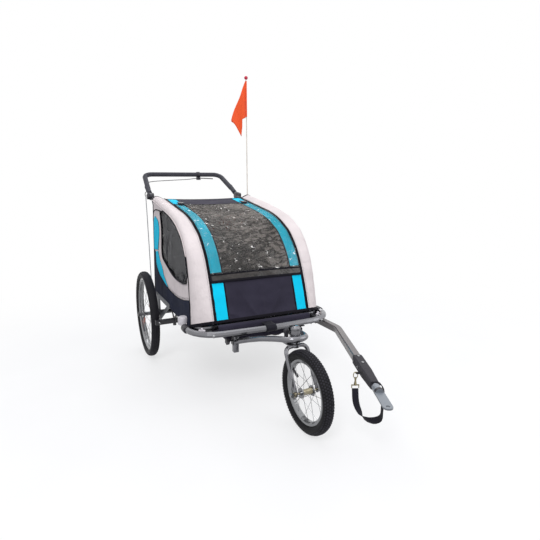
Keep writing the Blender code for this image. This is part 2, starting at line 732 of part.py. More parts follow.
def wheel_parts(name, centre_x, y, radius, rim_edge, spokes, flange_x, barrel, bore, turn_group):
    """Tyre, rim and laced hub about the X axis."""
    centre = (centre_x, y, radius)
    e = rim_edge
    half = [(0.0, radius), (0.0135, radius - 0.0030), (TYRE_HALF, radius - 0.0185),
            (0.0205, e + 0.0065), (0.0100, e + 0.0008), (0.0098, e - 0.0040)]
    tyre = lathe(half + [(-a, r) for a, r in reversed(half[1:])], centre, (1, 0, 0), WHEEL_STEPS)
    section = [(0.0135, e), (0.0135, e - 0.0095), (0.0065, e - 0.016), (-0.0065, e - 0.016),
               (-0.0135, e - 0.0095), (-0.0135, e), (-0.0103, e), (-0.0101, e - 0.0045), (0.0101, e - 0.0045), (0.0103, e)]
    rim = lathe(section, centre, (1, 0, 0), WHEEL_STEPS)
    f = flange_x
    hub_outline = [(-f - 0.007, 0.0095), (-f - 0.0015, 0.0095), (-f - 0.0015, 0.0220), (1.5e-3 - f, 0.0220),
                   (1.5e-3 - f, barrel), (f - 1.5e-3, barrel), (f - 1.5e-3, 0.0220), (f + 0.0015, 0.0220),
                   (f + 0.0015, 0.0095), (f + 0.007, 0.0095)]
    if bore:
        hub_outline += [(f + 0.007, bore), (-f - 0.007, bore)]
    else:
        hub_outline = [(-f - 0.007, 0)] + hub_outline + [(f + 0.007, 0)]
    hub = lathe(hub_outline, centre, (1, 0, 0), 12)
    wires = []
    rim_in = (e - 0.016) * math.cos(math.pi / WHEEL_STEPS) - 0.0004
    for k in range(spokes):
        flange = 1 if k % 2 else -1
        lean = 1 if (k // 2) % 2 else -1
        at_rim = 2 * math.pi * (k + 0.5) / spokes
        at_hub = at_rim - lean * 1.22
        x_hub = flange * (f + (0.0019 if lean > 0 else -0.0019))
        axis = Vector((centre_x, y, radius))
        start = axis + Vector((x_hub, 0.0185 * math.cos(at_hub), 0.0185 * math.sin(at_hub)))
        end = axis + Vector((flange * 0.002, rim_in * math.cos(at_rim), rim_in * math.sin(at_rim)))
        wires.append(rod(start, end, SPOKE_RADIUS, 4))
    laced = combine(hub, gather(wires), "UNION")
    steel = "bright_steel"
    for item, title, material in ((tyre, "tyre", "rubber"), (rim, "rim", steel), (laced, "hub", steel)):
        if turn_group:
            turned(item)
        pivot = turned_point(centre) if turn_group else centre
        name_piece(item, name + "_" + title, material, pivot)


def wheels():
    for side, s in (("left", 1), ("right", -1)):
        edge = REAR_RADIUS - REAR_TYRE_HEIGHT
        wheel_parts("rear_" + side, s * REAR_TRACK, 0.0, REAR_RADIUS, edge, 28, 0.026, 0.012, 0, False)
        hub = PART.objects["rear_" + side + "_hub"]
        pin = lathe([(-0.145, 0), (-0.145, 0.0070), (-0.020, 0.0070), (0.036, 0.0070), (0.036, 0.0115),
                     (0.046, 0.0115), (0.046, 0)], (s * REAR_TRACK, 0, REAR_RADIUS), (s, 0, 0), 12)
        pin.data.transform(Matrix.Translation((-s * REAR_TRACK, 0, -REAR_RADIUS)))
        pin.location = hub.location
        combine(hub, pin, "UNION")
        hub.data.materials.clear()
        hub.data.materials.append(look("bright_steel"))
        hub.data.shade_smooth()
        hub.data.set_sharp_from_angle(angle=math.radians(38))
    edge = FRONT_RADIUS - FRONT_TYRE_HEIGHT
    wheel_parts("front", 0.0, FRONT_AXLE_Y, FRONT_RADIUS, edge, 20, 0.026, 0.012, 0.0053, True)
    axle = lathe([(-0.0603, 0), (-0.0603, 0.0095), (-0.0528, 0.0100), (-0.0528, 0.0045), (0.0528, 0.0045),
                  (0.0528, 0.0095), (0.0600, 0.0095), (0.0600, 0)],
                 (0, FRONT_AXLE_Y, FRONT_RADIUS), (1, 0, 0), 12)
    name_piece(turned(axle), "front_axle", "bright_steel", turned_point((0, FRONT_AXLE_Y, FRONT_RADIUS)))
    x, y, z = CAM_X, FRONT_AXLE_Y, FRONT_RADIUS
    cam = rod((x, y - 0.007, z), (x, y + 0.007, z), 0.0080, 16)
    blade = strap([(x, y, z), (x - 0.003, y + 0.002, z + 0.030), (x + 0.002, y + 0.004, z + 0.064)],
                  0.012, 0.0044, (1, 0, 0))
    lever = turned(fuse([cam, blade]))
    name_piece(lever, "quick_release_lever", "bright_steel", turned_point((x, y, z)))


def brake_plate():
    plate = lathe([(0.3345, 0.0078), (0.3345, 0.020), (0.352, 0.020), (0.352, 0.044), (0.3600, 0.044),
                   (0.3600, 0.036), (0.3666, 0.036), (0.3666, 0.0078)], (0, 0, REAR_RADIUS), (-1, 0, 0), 24)
    arm = box(-0.3595, -0.3525, 0.018, 0.034, REAR_RADIUS + 0.015, REAR_RADIUS + 0.062)
    name_piece(fuse([plate, arm]), "brake_backplate", "grey_steel")


def hoops():
    for side, s in (("left", 1), ("right", -1)):
        seam = [p for p in seam_points() if p.x < 0.03 and p.y > 0.385]
        foot_z = RAIL_Z + RAIL_R + 2.5 * GAP
        path = [(0, HOOP_REAR_Y, foot_z)]
        top = seam[0]
        corner = Vector((HOOP_REAR_Y, top.y + 0.006))
        radius = 0.030
        path.append((0, HOOP_REAR_Y, corner.y - radius))
        for k in range(1, 5):
            a = math.pi / 2 * k / 5
            path.append((0, HOOP_REAR_Y - radius + radius * math.cos(a), corner.y - radius + radius * math.sin(a)))
        path += [(0, p.x, p.y) for p in seam]
        path += [(0, seam[-1].x - 0.003, foot_z + 0.009), (0, seam[-1].x - 0.003, foot_z)]
        path = [(s * (side_x(z) - HOOP_INSET), y, z) for x, y, z in path]
        name_piece(tube(path, HOOP_R, 8), "side_hoop_" + side, "silver_tube")
    z = 0.868
    end = side_x(z) - HOOP_INSET - HOOP_R - 0.0006
    name_piece(rod((-end, HOOP_REAR_Y - 0.001, z), (end, HOOP_REAR_Y - 0.001, z), HOOP_R, 10), "roof_crossbar",
               "silver_tube")


def handle_brackets():
    """Brackets of the push handle. A stub on each runs into the bore of the handle's disc."""
    for side, s in (("left", 1), ("right", -1)):
        saddle = box(s * 0.2895, s * 0.3140, REAR_Y + GAP, REAR_Y + 0.007, 0.800, 0.868)
        root = Vector((s * 0.3010, REAR_Y + 0.0058, 0.838))
        pivot = Vector((s * BRACKET_X, PIVOT_Y, PIVOT_Z))
        way = (root - pivot).normalized()
        stem = rod(root, pivot + way * 0.031, 0.0112, 10)
        level = Vector((0, way.y, way.z))
        tongue = bar(pivot + level * 0.045, pivot, 2 * DISC_HALF, 0.018, 0.001, (0, 0, 1))
        faces = [(s * (BRACKET_X + d), PIVOT_Y, PIVOT_Z) for d in (-DISC_HALF, DISC_HALF)]
        disc = rod(*faces, DISC_R, 20)
        pieces = [saddle, stem, tongue, disc]
        if s > 0:
            pieces.append(rod((FLAG_X, FLAG_Y, 0.838), (FLAG_X, FLAG_Y, 0.905), 0.0078, 12))
        stub_end = BRACKET_X + DISC_HALF + 0.0055
        pieces.append(rod((s * BRACKET_X, PIVOT_Y, PIVOT_Z), (s * stub_end, PIVOT_Y, PIVOT_Z), 0.0039, 12))
        bracket = fuse(pieces)
        if s > 0:
            cut(bracket, [rod((FLAG_X, FLAG_Y, FLAG_LOW - GAP), (FLAG_X, FLAG_Y, 0.95), 0.0035, 12)])
        name_piece(bracket, "handle_bracket_" + side, "black_plastic")


def handle_disc_x():
    return BRACKET_X + 2 * DISC_HALF + GAP


def handle_path():
    """Centre line of the U shaped handle, from the left pivot over the top to the right."""
    leg_x = handle_disc_x()
    lean = Vector((0, HANDLE_TOP_Y - PIVOT_Y, HANDLE_TOP_Z - PIVOT_Z))
    first = Vector((leg_x, PIVOT_Y, PIVOT_Z)) + lean * 0.095
    corners = [first, (0.268, HANDLE_TOP_Y, HANDLE_TOP_Z), (-0.268, HANDLE_TOP_Y, HANDLE_TOP_Z),
               (-first.x, first.y, first.z)]
    return rounded(corners, [0, 0.055, 0.055, 0], 6)


def handle():
    path = handle_path()
    loop = tube(path, HANDLE_TUBE_R, 8)
    x = handle_disc_x()
    y, z = PIVOT_Y, PIVOT_Z
    discs = [rod((s * (x - DISC_HALF), y, z), (s * (x + DISC_HALF), y, z), DISC_R, 20) for s in (-1, 1)]
    holes = [rod((s * (x - 0.02), y, z), (s * (x + 0.03), y, z), 0.0043, 12) for s in (-1, 1)]
    pivot = (0, PIVOT_Y, PIVOT_Z)
    reach = path[0] + (path[1] - path[0]) * 0.06
    tongues = [bar((s * x, reach.y, reach.z), (s * x, PIVOT_Y, PIVOT_Z), 2 * DISC_HALF, 0.018, 0.001, (0, 0, 1))
               for s in (-1, 1)]
    name_piece(cut(fuse([loop] + tongues + discs), holes), "handlebar", "black_steel", pivot)
    for side, s in (("left", 1), ("right", -1)):
        knob_x = x + DISC_HALF + GAP
        shaft = 2 * DISC_HALF - 0.0055 - GAP
        star_knob("handle_knob_" + side, (s * knob_x, PIVOT_Y, PIVOT_Z), (s, 0, 0), 0.018, 0.016, shaft, 0.0039)
    start = path[0].lerp(path[1], 0.30)
    foam_path = [start] + path[1:-1] + [path[-1].lerp(path[-2], 0.30)]
    foam = tube(foam_path, FOAM_R, 8)
    core_path = [path[0].lerp(path[1], 0.2)] + path[1:-1] + [path[-1].lerp(path[-2], 0.2)]
    core = tube(core_path, HANDLE_TUBE_R + 2 * GAP, 8)
    name_piece(cut(foam, [core]), "handlebar_grip", "foam", pivot)


def brake_lever():
    y, z = HANDLE_TOP_Y, HANDLE_TOP_Z
    lift = FOAM_R + GAP
    clamp = box(0.098, 0.122, y - 0.020, y + 0.009, z - lift - 0.021, z - lift)
    slot = box(0.102, 0.13, y - 0.024, y - 0.004, z - lift - 0.013, z - lift - 0.0045)
    clamp = cut(clamp, [slot])
    inner = FOAM_R + 0.0005
    section = [(0, inner), (0, inner + 0.0030), (0.020, inner + 0.0030), (0.020, inner)]
    ring = lathe(section, (0.100, y, z), (1, 0, 0), 16)
    clamp = fuse([clamp, ring])
    name_piece(clamp, "brake_lever_mount", "black_plastic", (0, PIVOT_Y, PIVOT_Z))
    blade = strap([(0.104, y - 0.012, z - lift - 0.0088), (0.150, y - 0.012, z - lift - 0.0098),
                   (0.215, y - 0.012, z - lift - 0.0128)], 0.0116, 0.0060, (0, 0, 1))
    name_piece(blade, "brake_lever", "black_plastic", (0.110, y - 0.012, z - lift - 0.0088))


def eased(points):
    """Smooth cable through points."""
    spots = [Vector(p) for p in points]
    spots = [spots[0] * 2 - spots[1]] + spots + [spots[-1] * 2 - spots[-2]]
    fine = []
    for k in range(1, len(spots) - 2):
        p0, p1, p2, p3 = spots[k - 1], spots[k], spots[k + 1], spots[k + 2]
        for s in range(3):
            t = s / 3
            fine.append(0.5 * (2 * p1 + (p2 - p0) * t + (2 * p0 - 5 * p1 + 4 * p2 - p3) * t * t
                               + (3 * p1 - p0 - 3 * p2 + p3) * t * t * t))
    fine.append(spots[-2])
    return fine


def cables():
    y, z = HANDLE_TOP_Y, HANDLE_TOP_Z
    upper = eased([(0.0972, y - 0.010, z - 0.027), (0.080, y - 0.011, z - 0.0275), (0.02, y - 0.020, z - 0.034),
                   (-0.10, y - 0.024, z - 0.040), (-0.215, y - 0.036, z - 0.047), (-0.262, y - 0.070, z - 0.057),
                   (-0.2770, 0.470, 0.9740),
                   (-0.2900, 0.4086, 0.9470), (-0.3095, 0.355, 0.9370), (-0.3198, 0.315, 0.9240),
                   (-0.3205, PIVOT_Y, PIVOT_Z)])
    name_piece(tube(upper, 0.0025, 6), "brake_cable_upper", "black_plastic",
               (0, PIVOT_Y, PIVOT_Z))
    lower = eased([(-0.3209, PIVOT_Y, PIVOT_Z - 0.0030), (-0.329, 0.235, 0.79), (-0.341, 0.16, 0.60),
                   (-0.352, 0.090, 0.43), (-0.3562, 0.035, 0.335), (-0.3562, 0.028, REAR_RADIUS + 0.0623)])
    name_piece(tube(lower, 0.0025, 6), "brake_cable", "cable_grey")


def hood_cloth():
    full = STATIONS
    for side, s in (("left", 1), ("right", -1)):
        def band(t, s=s):
            spot, normal = hood_spot(t)
            seam = spot + normal * (edge_lift(t) - corner_radius(t))
            start = side_x(seam.y) - corner_radius(t)
            first = (BAND_X + GAP) / start
            rows = [hood_point(t, a) for a in even(first, 1.0, 2)]
            rows += [hood_point(t, 1.0 + a) for a in (0.25, 0.5, 0.75, 1.0)]
            return [(s * p.x, p.y, p.z) for p in rows]

        def stripe(t, s=s):
            rows = [hood_at_x(t, x) for x in even(STRIPE_X + GAP, BAND_X - GAP, 2)]
            return [(s * p.x, p.y, p.z) for p in rows]

        name_piece(hood_sheet(full, band, CLOTH), "hood_band_" + side, "light_cloth")
        name_piece(hood_sheet(full, stripe, CLOTH), "hood_stripe_" + side, "blue_cloth")

    def screen(t):
        rows = []
        for x in even(-STRIPE_X + GAP, STRIPE_X - GAP, 6):
            p = hood_at_x(t, abs(x))
            rows.append((x, p.y, p.z))
        return rows

    name_piece(hood_sheet(full, screen, CLOTH), "front_screen", "mesh_cloth")

    def film(t):
        rows = []
        for x in (-0.236, -0.1755, -0.117, -0.0584, 0.0, 0.0584, 0.117, 0.1755, 0.236):
            p = hood_at_x(t, abs(x), -0.0020)
            rows.append((x, p.y, p.z))
        return rows

    name_piece(hood_sheet(full[4:21], film, 0.0010), "rain_window", "clear_film")


def side_cloth():
    seam = seam_points(0.0008)
    before, after = [p for p in seam if p.x > REAR_Y][-1], [p for p in seam if p.x <= REAR_Y][0]
    part = (before.x - REAR_Y) / (before.x - after.x)
    start = before.lerp(after, part)
    upper = [(p.x, p.y) for p in seam if p.x < REAR_Y - 0.004 and p.y > SEAM_LOW[0][1] + 0.004]
    front = (seam_at_height(SEAM_LOW[0][1] + 0.0006, 0.0008), SEAM_LOW[0][1] + 0.0006)
    low = [(SEAM_LOW[k][0], SEAM_LOW[k][1] + 0.0006) for k in range(1, len(SEAM_LOW))]
    outline = [tuple(start)] + upper + [front] + low
    for side, s in (("left", 1), ("right", -1)):
        window = window_outline()
        panel = plate_yz(outline, [window], side_x, CLOTH, s)
        name_piece(panel, "side_panel_" + side, "light_cloth")
        centre = Vector((-0.35, 0.69))
        inset = []
        count = len(window)
        for k in range(count):
            a, b, c = (Vector(window[(k + d) % count]) for d in (-1, 0, 1))
            along = ((b - a).normalized() + (c - b).normalized()).normalized()
            across = Vector((-along.y, along.x))
            if across.dot(centre - b) < 0:
                across = -across
            inset.append(tuple(b + across * 0.0008))
        pane = plate_yz(inset, [], lambda z: side_x(z) - 0.0006, 0.0012, s)
        name_piece(pane, "side_window_" + side, "clear_film")


def floor_outline(inset):
    """Plan of the lower body, from the rear left corner round to the rear right."""
    x = SIDE_X - inset
    r = FLOOR_CORNER - inset
    front = FLOOR_FRONT_Y + inset
    points = rounded([(x, REAR_Y - inset, 0), (x, front, 0), (-x, front, 0), (-x, REAR_Y - inset, 0)],
                     [0, r, r, 0], 5)
    return [(p.x, p.y) for p in points]


def prism(outline, z0, z1):
    return flat([outline], z1 - z0, Matrix.Translation((0, 0, (z0 + z1) / 2)))


def lower_body():
    tray = prism(floor_outline(0.0), SIDE_BOTTOM, WALL_TOP)
    cut(tray, [prism(floor_outline(CLOTH), SIDE_BOTTOM + CLOTH, WALL_TOP + 0.01)])
    well = box(-WELL_X, WELL_X, WELL_FRONT_Y, WELL_REAR_Y, WELL_Z, SIDE_BOTTOM + 0.001)
    body = fuse([tray, well])
    c = CLOTH
    cut(body, [box(c - WELL_X, WELL_X - c, WELL_FRONT_Y + c, WELL_REAR_Y - c, WELL_Z + c, SIDE_BOTTOM + 0.02)])
    lip = box(-0.236, 0.236, FLOOR_FRONT_Y, FLOOR_FRONT_Y + 0.022, SIDE_BOTTOM + 0.001, 0.3745)
    lip = cut(lip, [box(-0.2335, 0.2335, FLOOR_FRONT_Y + c, FLOOR_FRONT_Y + 0.03, SIDE_BOTTOM, 0.3745 - c)])
    body = fuse([body, lip])
    seam = seam_points(0.0008)
    front = [(p.x, p.y) for p in seam if 0.352 < p.y < SEAM_LOW[0][1] - 0.006]
    front_top = (seam_at_height(SEAM_LOW[0][1], 0.0008), SEAM_LOW[0][1])
    for s in (-1, 1):
        outline = [(REAR_Y, SIDE_BOTTOM + 0.0005)] + list(reversed(SEAM_LOW[1:]))
        outline += [front_top] + front + [(front[-1][0], SIDE_BOTTOM + 0.0005)]
        wall = plate_yz(outline, [], side_x, c, s)
        body = fuse([body, wall])
    top = []
    t = (0.120 - (REAR_Y - c / 2)) / HOOD_LENGTH
    for x in (0.0, 0.08, 0.16, 0.24):
        p = hood_at_x(t, x, c + 0.0016)
        top.append((p.x, p.z))
    for a in (1.0, 1.25, 1.5, 1.75):
        p = hood_point(t, a, c + 0.0016)
        top.append((p.x, p.z))
    side_top = hood_point(t, 2.0, c + 0.0010)
    top.append((side_top.x - 0.0002, side_top.z))
    edge = [(side_x(z) - c - GAP, z) for z in (0.84, 0.70, 0.5470)]
    edge.append((side_x(0.5460) - 0.001, 0.5455))
    edge.append((SIDE_X - 0.001, SIDE_BOTTOM + 0.0005))
    half = top + edge
    loop = half + [(-x, z) for x, z in reversed(half[1:])]
    rear = flat([loop], c, aim((0, REAR_Y - c / 2, 0), (0, -1, 0), (0, 0, 1)))
    body = fuse([body, rear])
    notches = [box(s * 0.2610, s * 0.2870, -0.80, -0.740, 0.3400, 0.3545) for s in (-1, 1)]
    name_piece(cut(body, notches), "lower_body", "black_cloth")


def seats():
    base = box(-0.270, 0.270, -0.385, -0.022, RAIL_Z + CROSS_R + GAP, 0.412)
    base = cushion(base, 0.012, 3)
    name_piece(base, "seat_base", "black_cloth")
    low, high, half = Vector((-0.004, 0.412)), Vector((0.056, 0.850)), 0.014
    back = bar((0, low.x, low.y + 0.004), (0, high.x, high.y + 0.004), 0.536, 2 * half, 0, (0, -1, 0))
    name_piece(cushion(back, 0.008, 3), "seat_back", "black_cloth")


def cushion(item, bevel, segments):
    soft = item.modifiers.new("soft", "BEVEL")
    soft.width = bevel
    soft.segments = segments
    soft.limit_method = "NONE"
    bpy.context.view_layer.update()
    graph = bpy.context.evaluated_depsgraph_get()
    mesh = bpy.data.meshes.new_from_object(item.evaluated_get(graph))
    item.modifiers.clear()
    item.data = mesh
    return item


def harness():
    """Five point straps for each of the two children, on an anchor strap across the seat back."""
    low, high = Vector((-0.004, 0.412)), Vector((0.056, 0.850))
    along = (high - low).normalized()
    across = Vector((-along.y, along.x))

    def back_spot(x, height, off):
        p = low + along * (height / along.y) + across * (0.014 + off)
        return Vector((x, p.x, p.y + 0.004))

    face = Vector((0, across.x, across.y))
    for side, cx in (("left", 0.125), ("right", -0.125)):
        pieces = [strap([back_spot(cx - 0.110, 0.360, 0.0017), back_spot(cx + 0.110, 0.360, 0.0017)],
                        0.025, 0.0026, face)]
        buckle = back_spot(cx, 0.130, 0.0080)
        buckle.y -= 0.006
        for s in (-1, 1):
            shoulder = [back_spot(cx + s * 0.060, 0.366, 0.0017), back_spot(cx + s * 0.050, 0.270, 0.0017),
                        back_spot(cx + s * 0.030, 0.180, 0.0030), buckle + Vector((s * 0.012, 0.001, 0))]
            pieces.append(strap(shoulder, 0.025, 0.0026, face))
            pieces.append(strap([buckle, back_spot(cx + s * 0.060, 0.100, 0.0035),
                                 back_spot(cx + s * 0.098, 0.040, 0.0017)], 0.025, 0.0026, face))
        pieces.append(strap([buckle, buckle + Vector((0, -0.045, -0.100)), Vector((cx, -0.110, 0.4140)),
                             Vector((cx, -0.160, 0.4137))], 0.025, 0.0026, (0, -0.5, 0.8)))
        pieces.append(box(cx - 0.022, cx + 0.022, buckle.y - 0.008, buckle.y + 0.004, buckle.z - 0.020,
                          buckle.z + 0.018))
        name_piece(fuse(pieces), "harness_" + side, "webbing")


def tow_direction(first, second):
    return Vector((second[0] - first[0], second[1] - first[1], 0)).normalized()


def tow_gear():
    z, h = TOW_Z, TOW_HALF
    back, bend, end = (Vector((*p, z)) for p in (TOW_BACK, TOW_BEND, TOW_END))
    first = tow_direction(TOW_BACK, TOW_BEND)
    path = rounded([tuple(back + first * 0.03), tuple(bend), tuple(end)], [0, 0.10, 0], 5)
    arm = box_tube(path, h, 0.004)
    pin_y = RECEIVER_FRONT_Y + 0.022
    pin_x = TOW_BACK[0] + first.x / first.y * (pin_y - TOW_BACK[1])
    cut(arm, [rod((pin_x - 0.05, pin_y, z), (pin_x + 0.05, pin_y, z), 0.0046, 12)])
    name_piece(arm, "tow_arm", "pewter_tube")
    out = h + GAP + 0.0027
    stretch = (RECEIVER_FRONT_Y - TOW_BACK[1]) / first.y
    sleeve = bar(back, back + first * stretch, 2 * out, 2 * out, 0.004, (0, 0, 1))
    hollow = 2 * (h + GAP)
    bore = bar(back - first * 0.01, back + first * (stretch + 0.01), hollow, hollow, 0.004, (0, 0, 1))
    lugs = [box(0.304, 0.324, y - 0.012, y + 0.012, z + out - 0.001, SIDE_BOTTOM - GAP)
            for y in (-0.485, -0.655)]
    pin_bore = rod((pin_x - 0.05, pin_y, z), (pin_x + 0.05, pin_y, z), 0.0046, 12)
    holder = cut(fuse([sleeve] + lugs), [bore, pin_bore])
    name_piece(holder, "tow_receiver", "black_steel")
    pin = rod((pin_x - 0.032, pin_y, z), (pin_x + 0.025, pin_y, z), 0.0040, 12)
    section = [(0.0013 * math.cos(a), 0.013 + 0.0013 * math.sin(a)) for a in even(0, 2 * math.pi, 6)[:-1]]
    ring = lathe(section, (pin_x - 0.030, pin_y, z - 0.012), (1, 0, 0), 16)
    name_piece(fuse([pin, ring]), "tow_pin", "bright_steel", (pin_x, pin_y, z))
    along = tow_direction(TOW_BEND, TOW_END)
    flex_end = Vector((*FLEX_END, z))
    flex = box_tube([end - along * 0.045, end + along * 0.090, flex_end], 0.0195, 0.005, [1.0, 1.0, 0.78])
    across = Vector((along.y, -along.x, 0))
    loop = end + along * RING_ALONG
    low = loop - Vector((0, 0, 0.0115))
    flex = fuse([flex, bar(low, low + across * 0.0335, 0.016, 0.003, 0, (0, 0, 1))])
    hole = low + across * 0.0270
    cut(flex, [rod(hole - Vector((0, 0, 0.01)), hole + Vector((0, 0, 0.01)), 0.0042, 12)])
    socket = bar(end - along * 0.06, end + along * 0.0006, 2 * (h + GAP), 2 * (h + GAP), 0.004, (0, 0, 1))
    name_piece(cut(flex, [socket]), "flex_connector", "rubber")
    out_dir = tow_direction(FLEX_END, COUPLER_TIP)
    ball = JOINT_R
    arc = [(ball - ball * math.cos(a), ball * math.sin(a)) for a in even(0, math.pi / 2, 5)]
    joint = lathe(arc + [(0.060, ball), (0.060, 0)], flex_end + along * GAP, along, 16)
    pin_one = flex_end + along * 0.030
    tip = Vector((*COUPLER_TIP, z))
    run = (tip - pin_one).normalized()
    length = (tip - pin_one).length
    side = run.cross(Vector((0, 0, 1)))
    half = 0.0165
    spots = [pin_one + side * half, pin_one + run * (length - half) + side * half]
    for a in even(0, math.pi, 8)[1:-1]:
        spots.append(pin_one + run * (length - half + half * math.sin(a)) + side * half * math.cos(a))
    spots += [pin_one + run * (length - half) - side * half, pin_one - side * half]
    plate = prism([(p.x, p.y) for p in spots], z - 0.0030, z + 0.0030)
    eye = pin_one + run * (length - half)
    coupler = fuse([joint, plate])
    cut(coupler, [rod((eye.x, eye.y, z - 0.02), (eye.x, eye.y, z + 0.02), 0.0065, 16)])
    name_piece(coupler, "coupler", "grey_steel", tuple(flex_end + along * (ball + GAP)))


def safety_strap():
    """Webbing that runs from the side of the flexible connector down and back up to the snap hook."""
    along = tow_direction(TOW_BEND, TOW_END)
    across = Vector((along.y, -along.x, 0))
    down = Vector((0, 0, -1))
    root = Vector((*FLEX_END, TOW_Z)) - along * 0.0135 - across * 0.0168
    hook = Vector((*TOW_END, 0)) + along * RING_ALONG + across * 0.0330
    spots = eased([root, root - across * 0.0080 + Vector((0, 0, -0.0010)),
                   root - across * 0.0145 + Vector((0, 0, -0.009)), (0.1405, -1.4480, 0.2840),
                   (0.1410, -1.4500, 0.2530), (0.1400, -1.4480, 0.2090),
                   (0.1440, -1.4380, 0.1680), (0.1400, -1.4000, 0.1390), (0.1280, -1.3650, 0.1350),
                   (0.1190, -1.3430, 0.1580), (0.1170, -1.3250, 0.1870), (hook.x, hook.y, 0.2317)])
    ways = eased([along, along, along, along, along, along, along + down, down, down * 1.5 - across,
                  down - across * 1.5, -across, -across])
    rows = []
    for index, spot in enumerate(spots):
        tangent = (spots[min(index + 1, len(spots) - 1)] - spots[max(index - 1, 0)]).normalized()
        side = (ways[index] - tangent * ways[index].dot(tangent)).normalized() * 0.0125
        rows.append([spot - side, spot + side])
    name_piece(sheet(rows, 0.0024, 0.0), "safety_strap", "webbing")


def flag():
    pole = rod((FLAG_X, FLAG_Y, FLAG_LOW), (FLAG_X, FLAG_Y, FLAG_TOP), 0.0032, 8)
    ball = lathe([(-0.011, 0), (-0.0095, 0.0055), (-0.0055, 0.0095), (0, 0.011), (0.0055, 0.0095), (0.0095, 0.0055),
                  (0.011, 0)], (FLAG_X, FLAG_Y, FLAG_TOP + 0.003), (0, 0, 1), 12)
    joint = rod((FLAG_X, FLAG_Y, FLAG_TOP - 0.150), (FLAG_X, FLAG_Y, FLAG_TOP - 0.128), 0.0038, 8)
    name_piece(fuse([pole, ball, joint]), "flag_pole", "pole", (FLAG_X, FLAG_Y, FLAG_LOW))
    x, y = FLAG_X - 0.0042, FLAG_Y
    drops = [(0, 0.0125), (0.044, 0.120), (0.100, 0.249), (0.070, 0.290), (0.030, 0.353), (0.024, 0.295),
             (0.022, 0.230), (0, 0.233)]
    spots = [(x - a, FLAG_TOP - b) for a, b in drops]
    name_piece(flat([spots], 0.0008, aim((0, y, 0), (0, -1, 0), (0, 0, 1))), "flag_pennant", "orange_cloth")


def snap_hook():
    """Snap hook that hangs from the loop on the connector, with a flat ring for the strap."""
    along = tow_direction(TOW_BEND, TOW_END)
    across = Vector((along.y, -along.x, 0))
    top = Vector((*TOW_END, TOW_Z)) + along * RING_ALONG + across * 0.0330 - Vector((0, 0, 0.0199))
    hoop = [top + across * (0.0085 * math.cos(a)) + Vector((0, 0, 0.0125 * math.sin(a)))
            for a in even(0, 2 * math.pi, 14)[:-1]]
    hook = tube(hoop, 0.0018, 6, True)
    low = top - Vector((0, 0, 0.0100))
    profile = [(0, 0), (0, 0.0048), (0.012, 0.0034), (0.028, 0.0060), (0.031, 0.0048), (0.031, 0)]
    body = lathe(profile, low, (0, 0, -1), 10)
    spot = low - Vector((0, 0, 0.0300))
    drop = Vector((0, 0, -0.012))
    ring = [bar(spot - across * 0.0155, spot + across * 0.0155, 0.0040, 0.0034, 0, (0, 0, 1))]
    ring += [bar(spot + across * d, spot + across * d + drop, 0.0036, 0.0030, 0, tuple(across))
             for d in (-0.0137, 0.0137)]
    ring = fuse(ring)
    name_piece(fuse([body, hook, ring]), "snap_hook", "bright_steel")


def centre_on_origin():
    """Bring the middle of the whole to the origin, lengthwise."""
    bpy.context.view_layer.update()
    spots = [item.matrix_world @ v.co for item in PART.objects for v in item.data.vertices]
    low, high = min(p.y for p in spots), max(p.y for p in spots)
    for item in PART.objects:
        item.location.y -= (low + high) / 2
    return -(low + high) / 2


def build():
    for item in list(bpy.data.objects):
        bpy.data.objects.remove(item, do_unlink=True)
    bpy.context.scene.collection.children.link(PART)
    base_frame()
    bumper_bar()
    rear_axle_gear()
    guard_bar()
    receivers()
    wheel_arm()
    receiver_knobs()
    fork()
    wheels()
    brake_plate()
    hoops()
    handle_brackets()
    handle()
    brake_lever()
    cables()
    hood_cloth()
    side_cloth()
    lower_body()
    seats()
    harness()
    tow_gear()
    safety_strap()
    snap_hook()
    flag()
    return centre_on_origin()


SHIFT = build()
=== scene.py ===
"""Looks of the child bike trailer: cloth, film, webbing, fittings, materials, light and camera."""
import math
import bpy
import bmesh
from mathutils import Matrix, Vector, noise

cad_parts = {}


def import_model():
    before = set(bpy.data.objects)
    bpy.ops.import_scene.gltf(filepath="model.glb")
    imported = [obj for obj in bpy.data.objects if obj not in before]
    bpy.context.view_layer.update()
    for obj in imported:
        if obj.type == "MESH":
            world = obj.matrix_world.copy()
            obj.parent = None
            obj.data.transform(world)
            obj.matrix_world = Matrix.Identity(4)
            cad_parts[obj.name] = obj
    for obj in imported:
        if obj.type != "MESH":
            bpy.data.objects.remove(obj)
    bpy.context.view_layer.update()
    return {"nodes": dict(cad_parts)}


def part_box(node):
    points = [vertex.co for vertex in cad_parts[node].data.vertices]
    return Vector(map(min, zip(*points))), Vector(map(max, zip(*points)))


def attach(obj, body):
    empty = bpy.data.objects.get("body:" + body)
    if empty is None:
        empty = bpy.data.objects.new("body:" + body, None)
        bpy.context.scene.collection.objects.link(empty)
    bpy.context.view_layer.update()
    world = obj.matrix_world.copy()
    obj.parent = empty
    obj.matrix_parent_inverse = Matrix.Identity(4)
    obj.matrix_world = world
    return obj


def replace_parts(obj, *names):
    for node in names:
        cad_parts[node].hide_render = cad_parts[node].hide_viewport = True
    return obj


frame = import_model()
NODES = frame["nodes"]
axle_low, axle_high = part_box("rear_left_tyre")
Y0 = (axle_low[1] + axle_high[1]) / 2
SIDES = (("left", 1), ("right", -1))

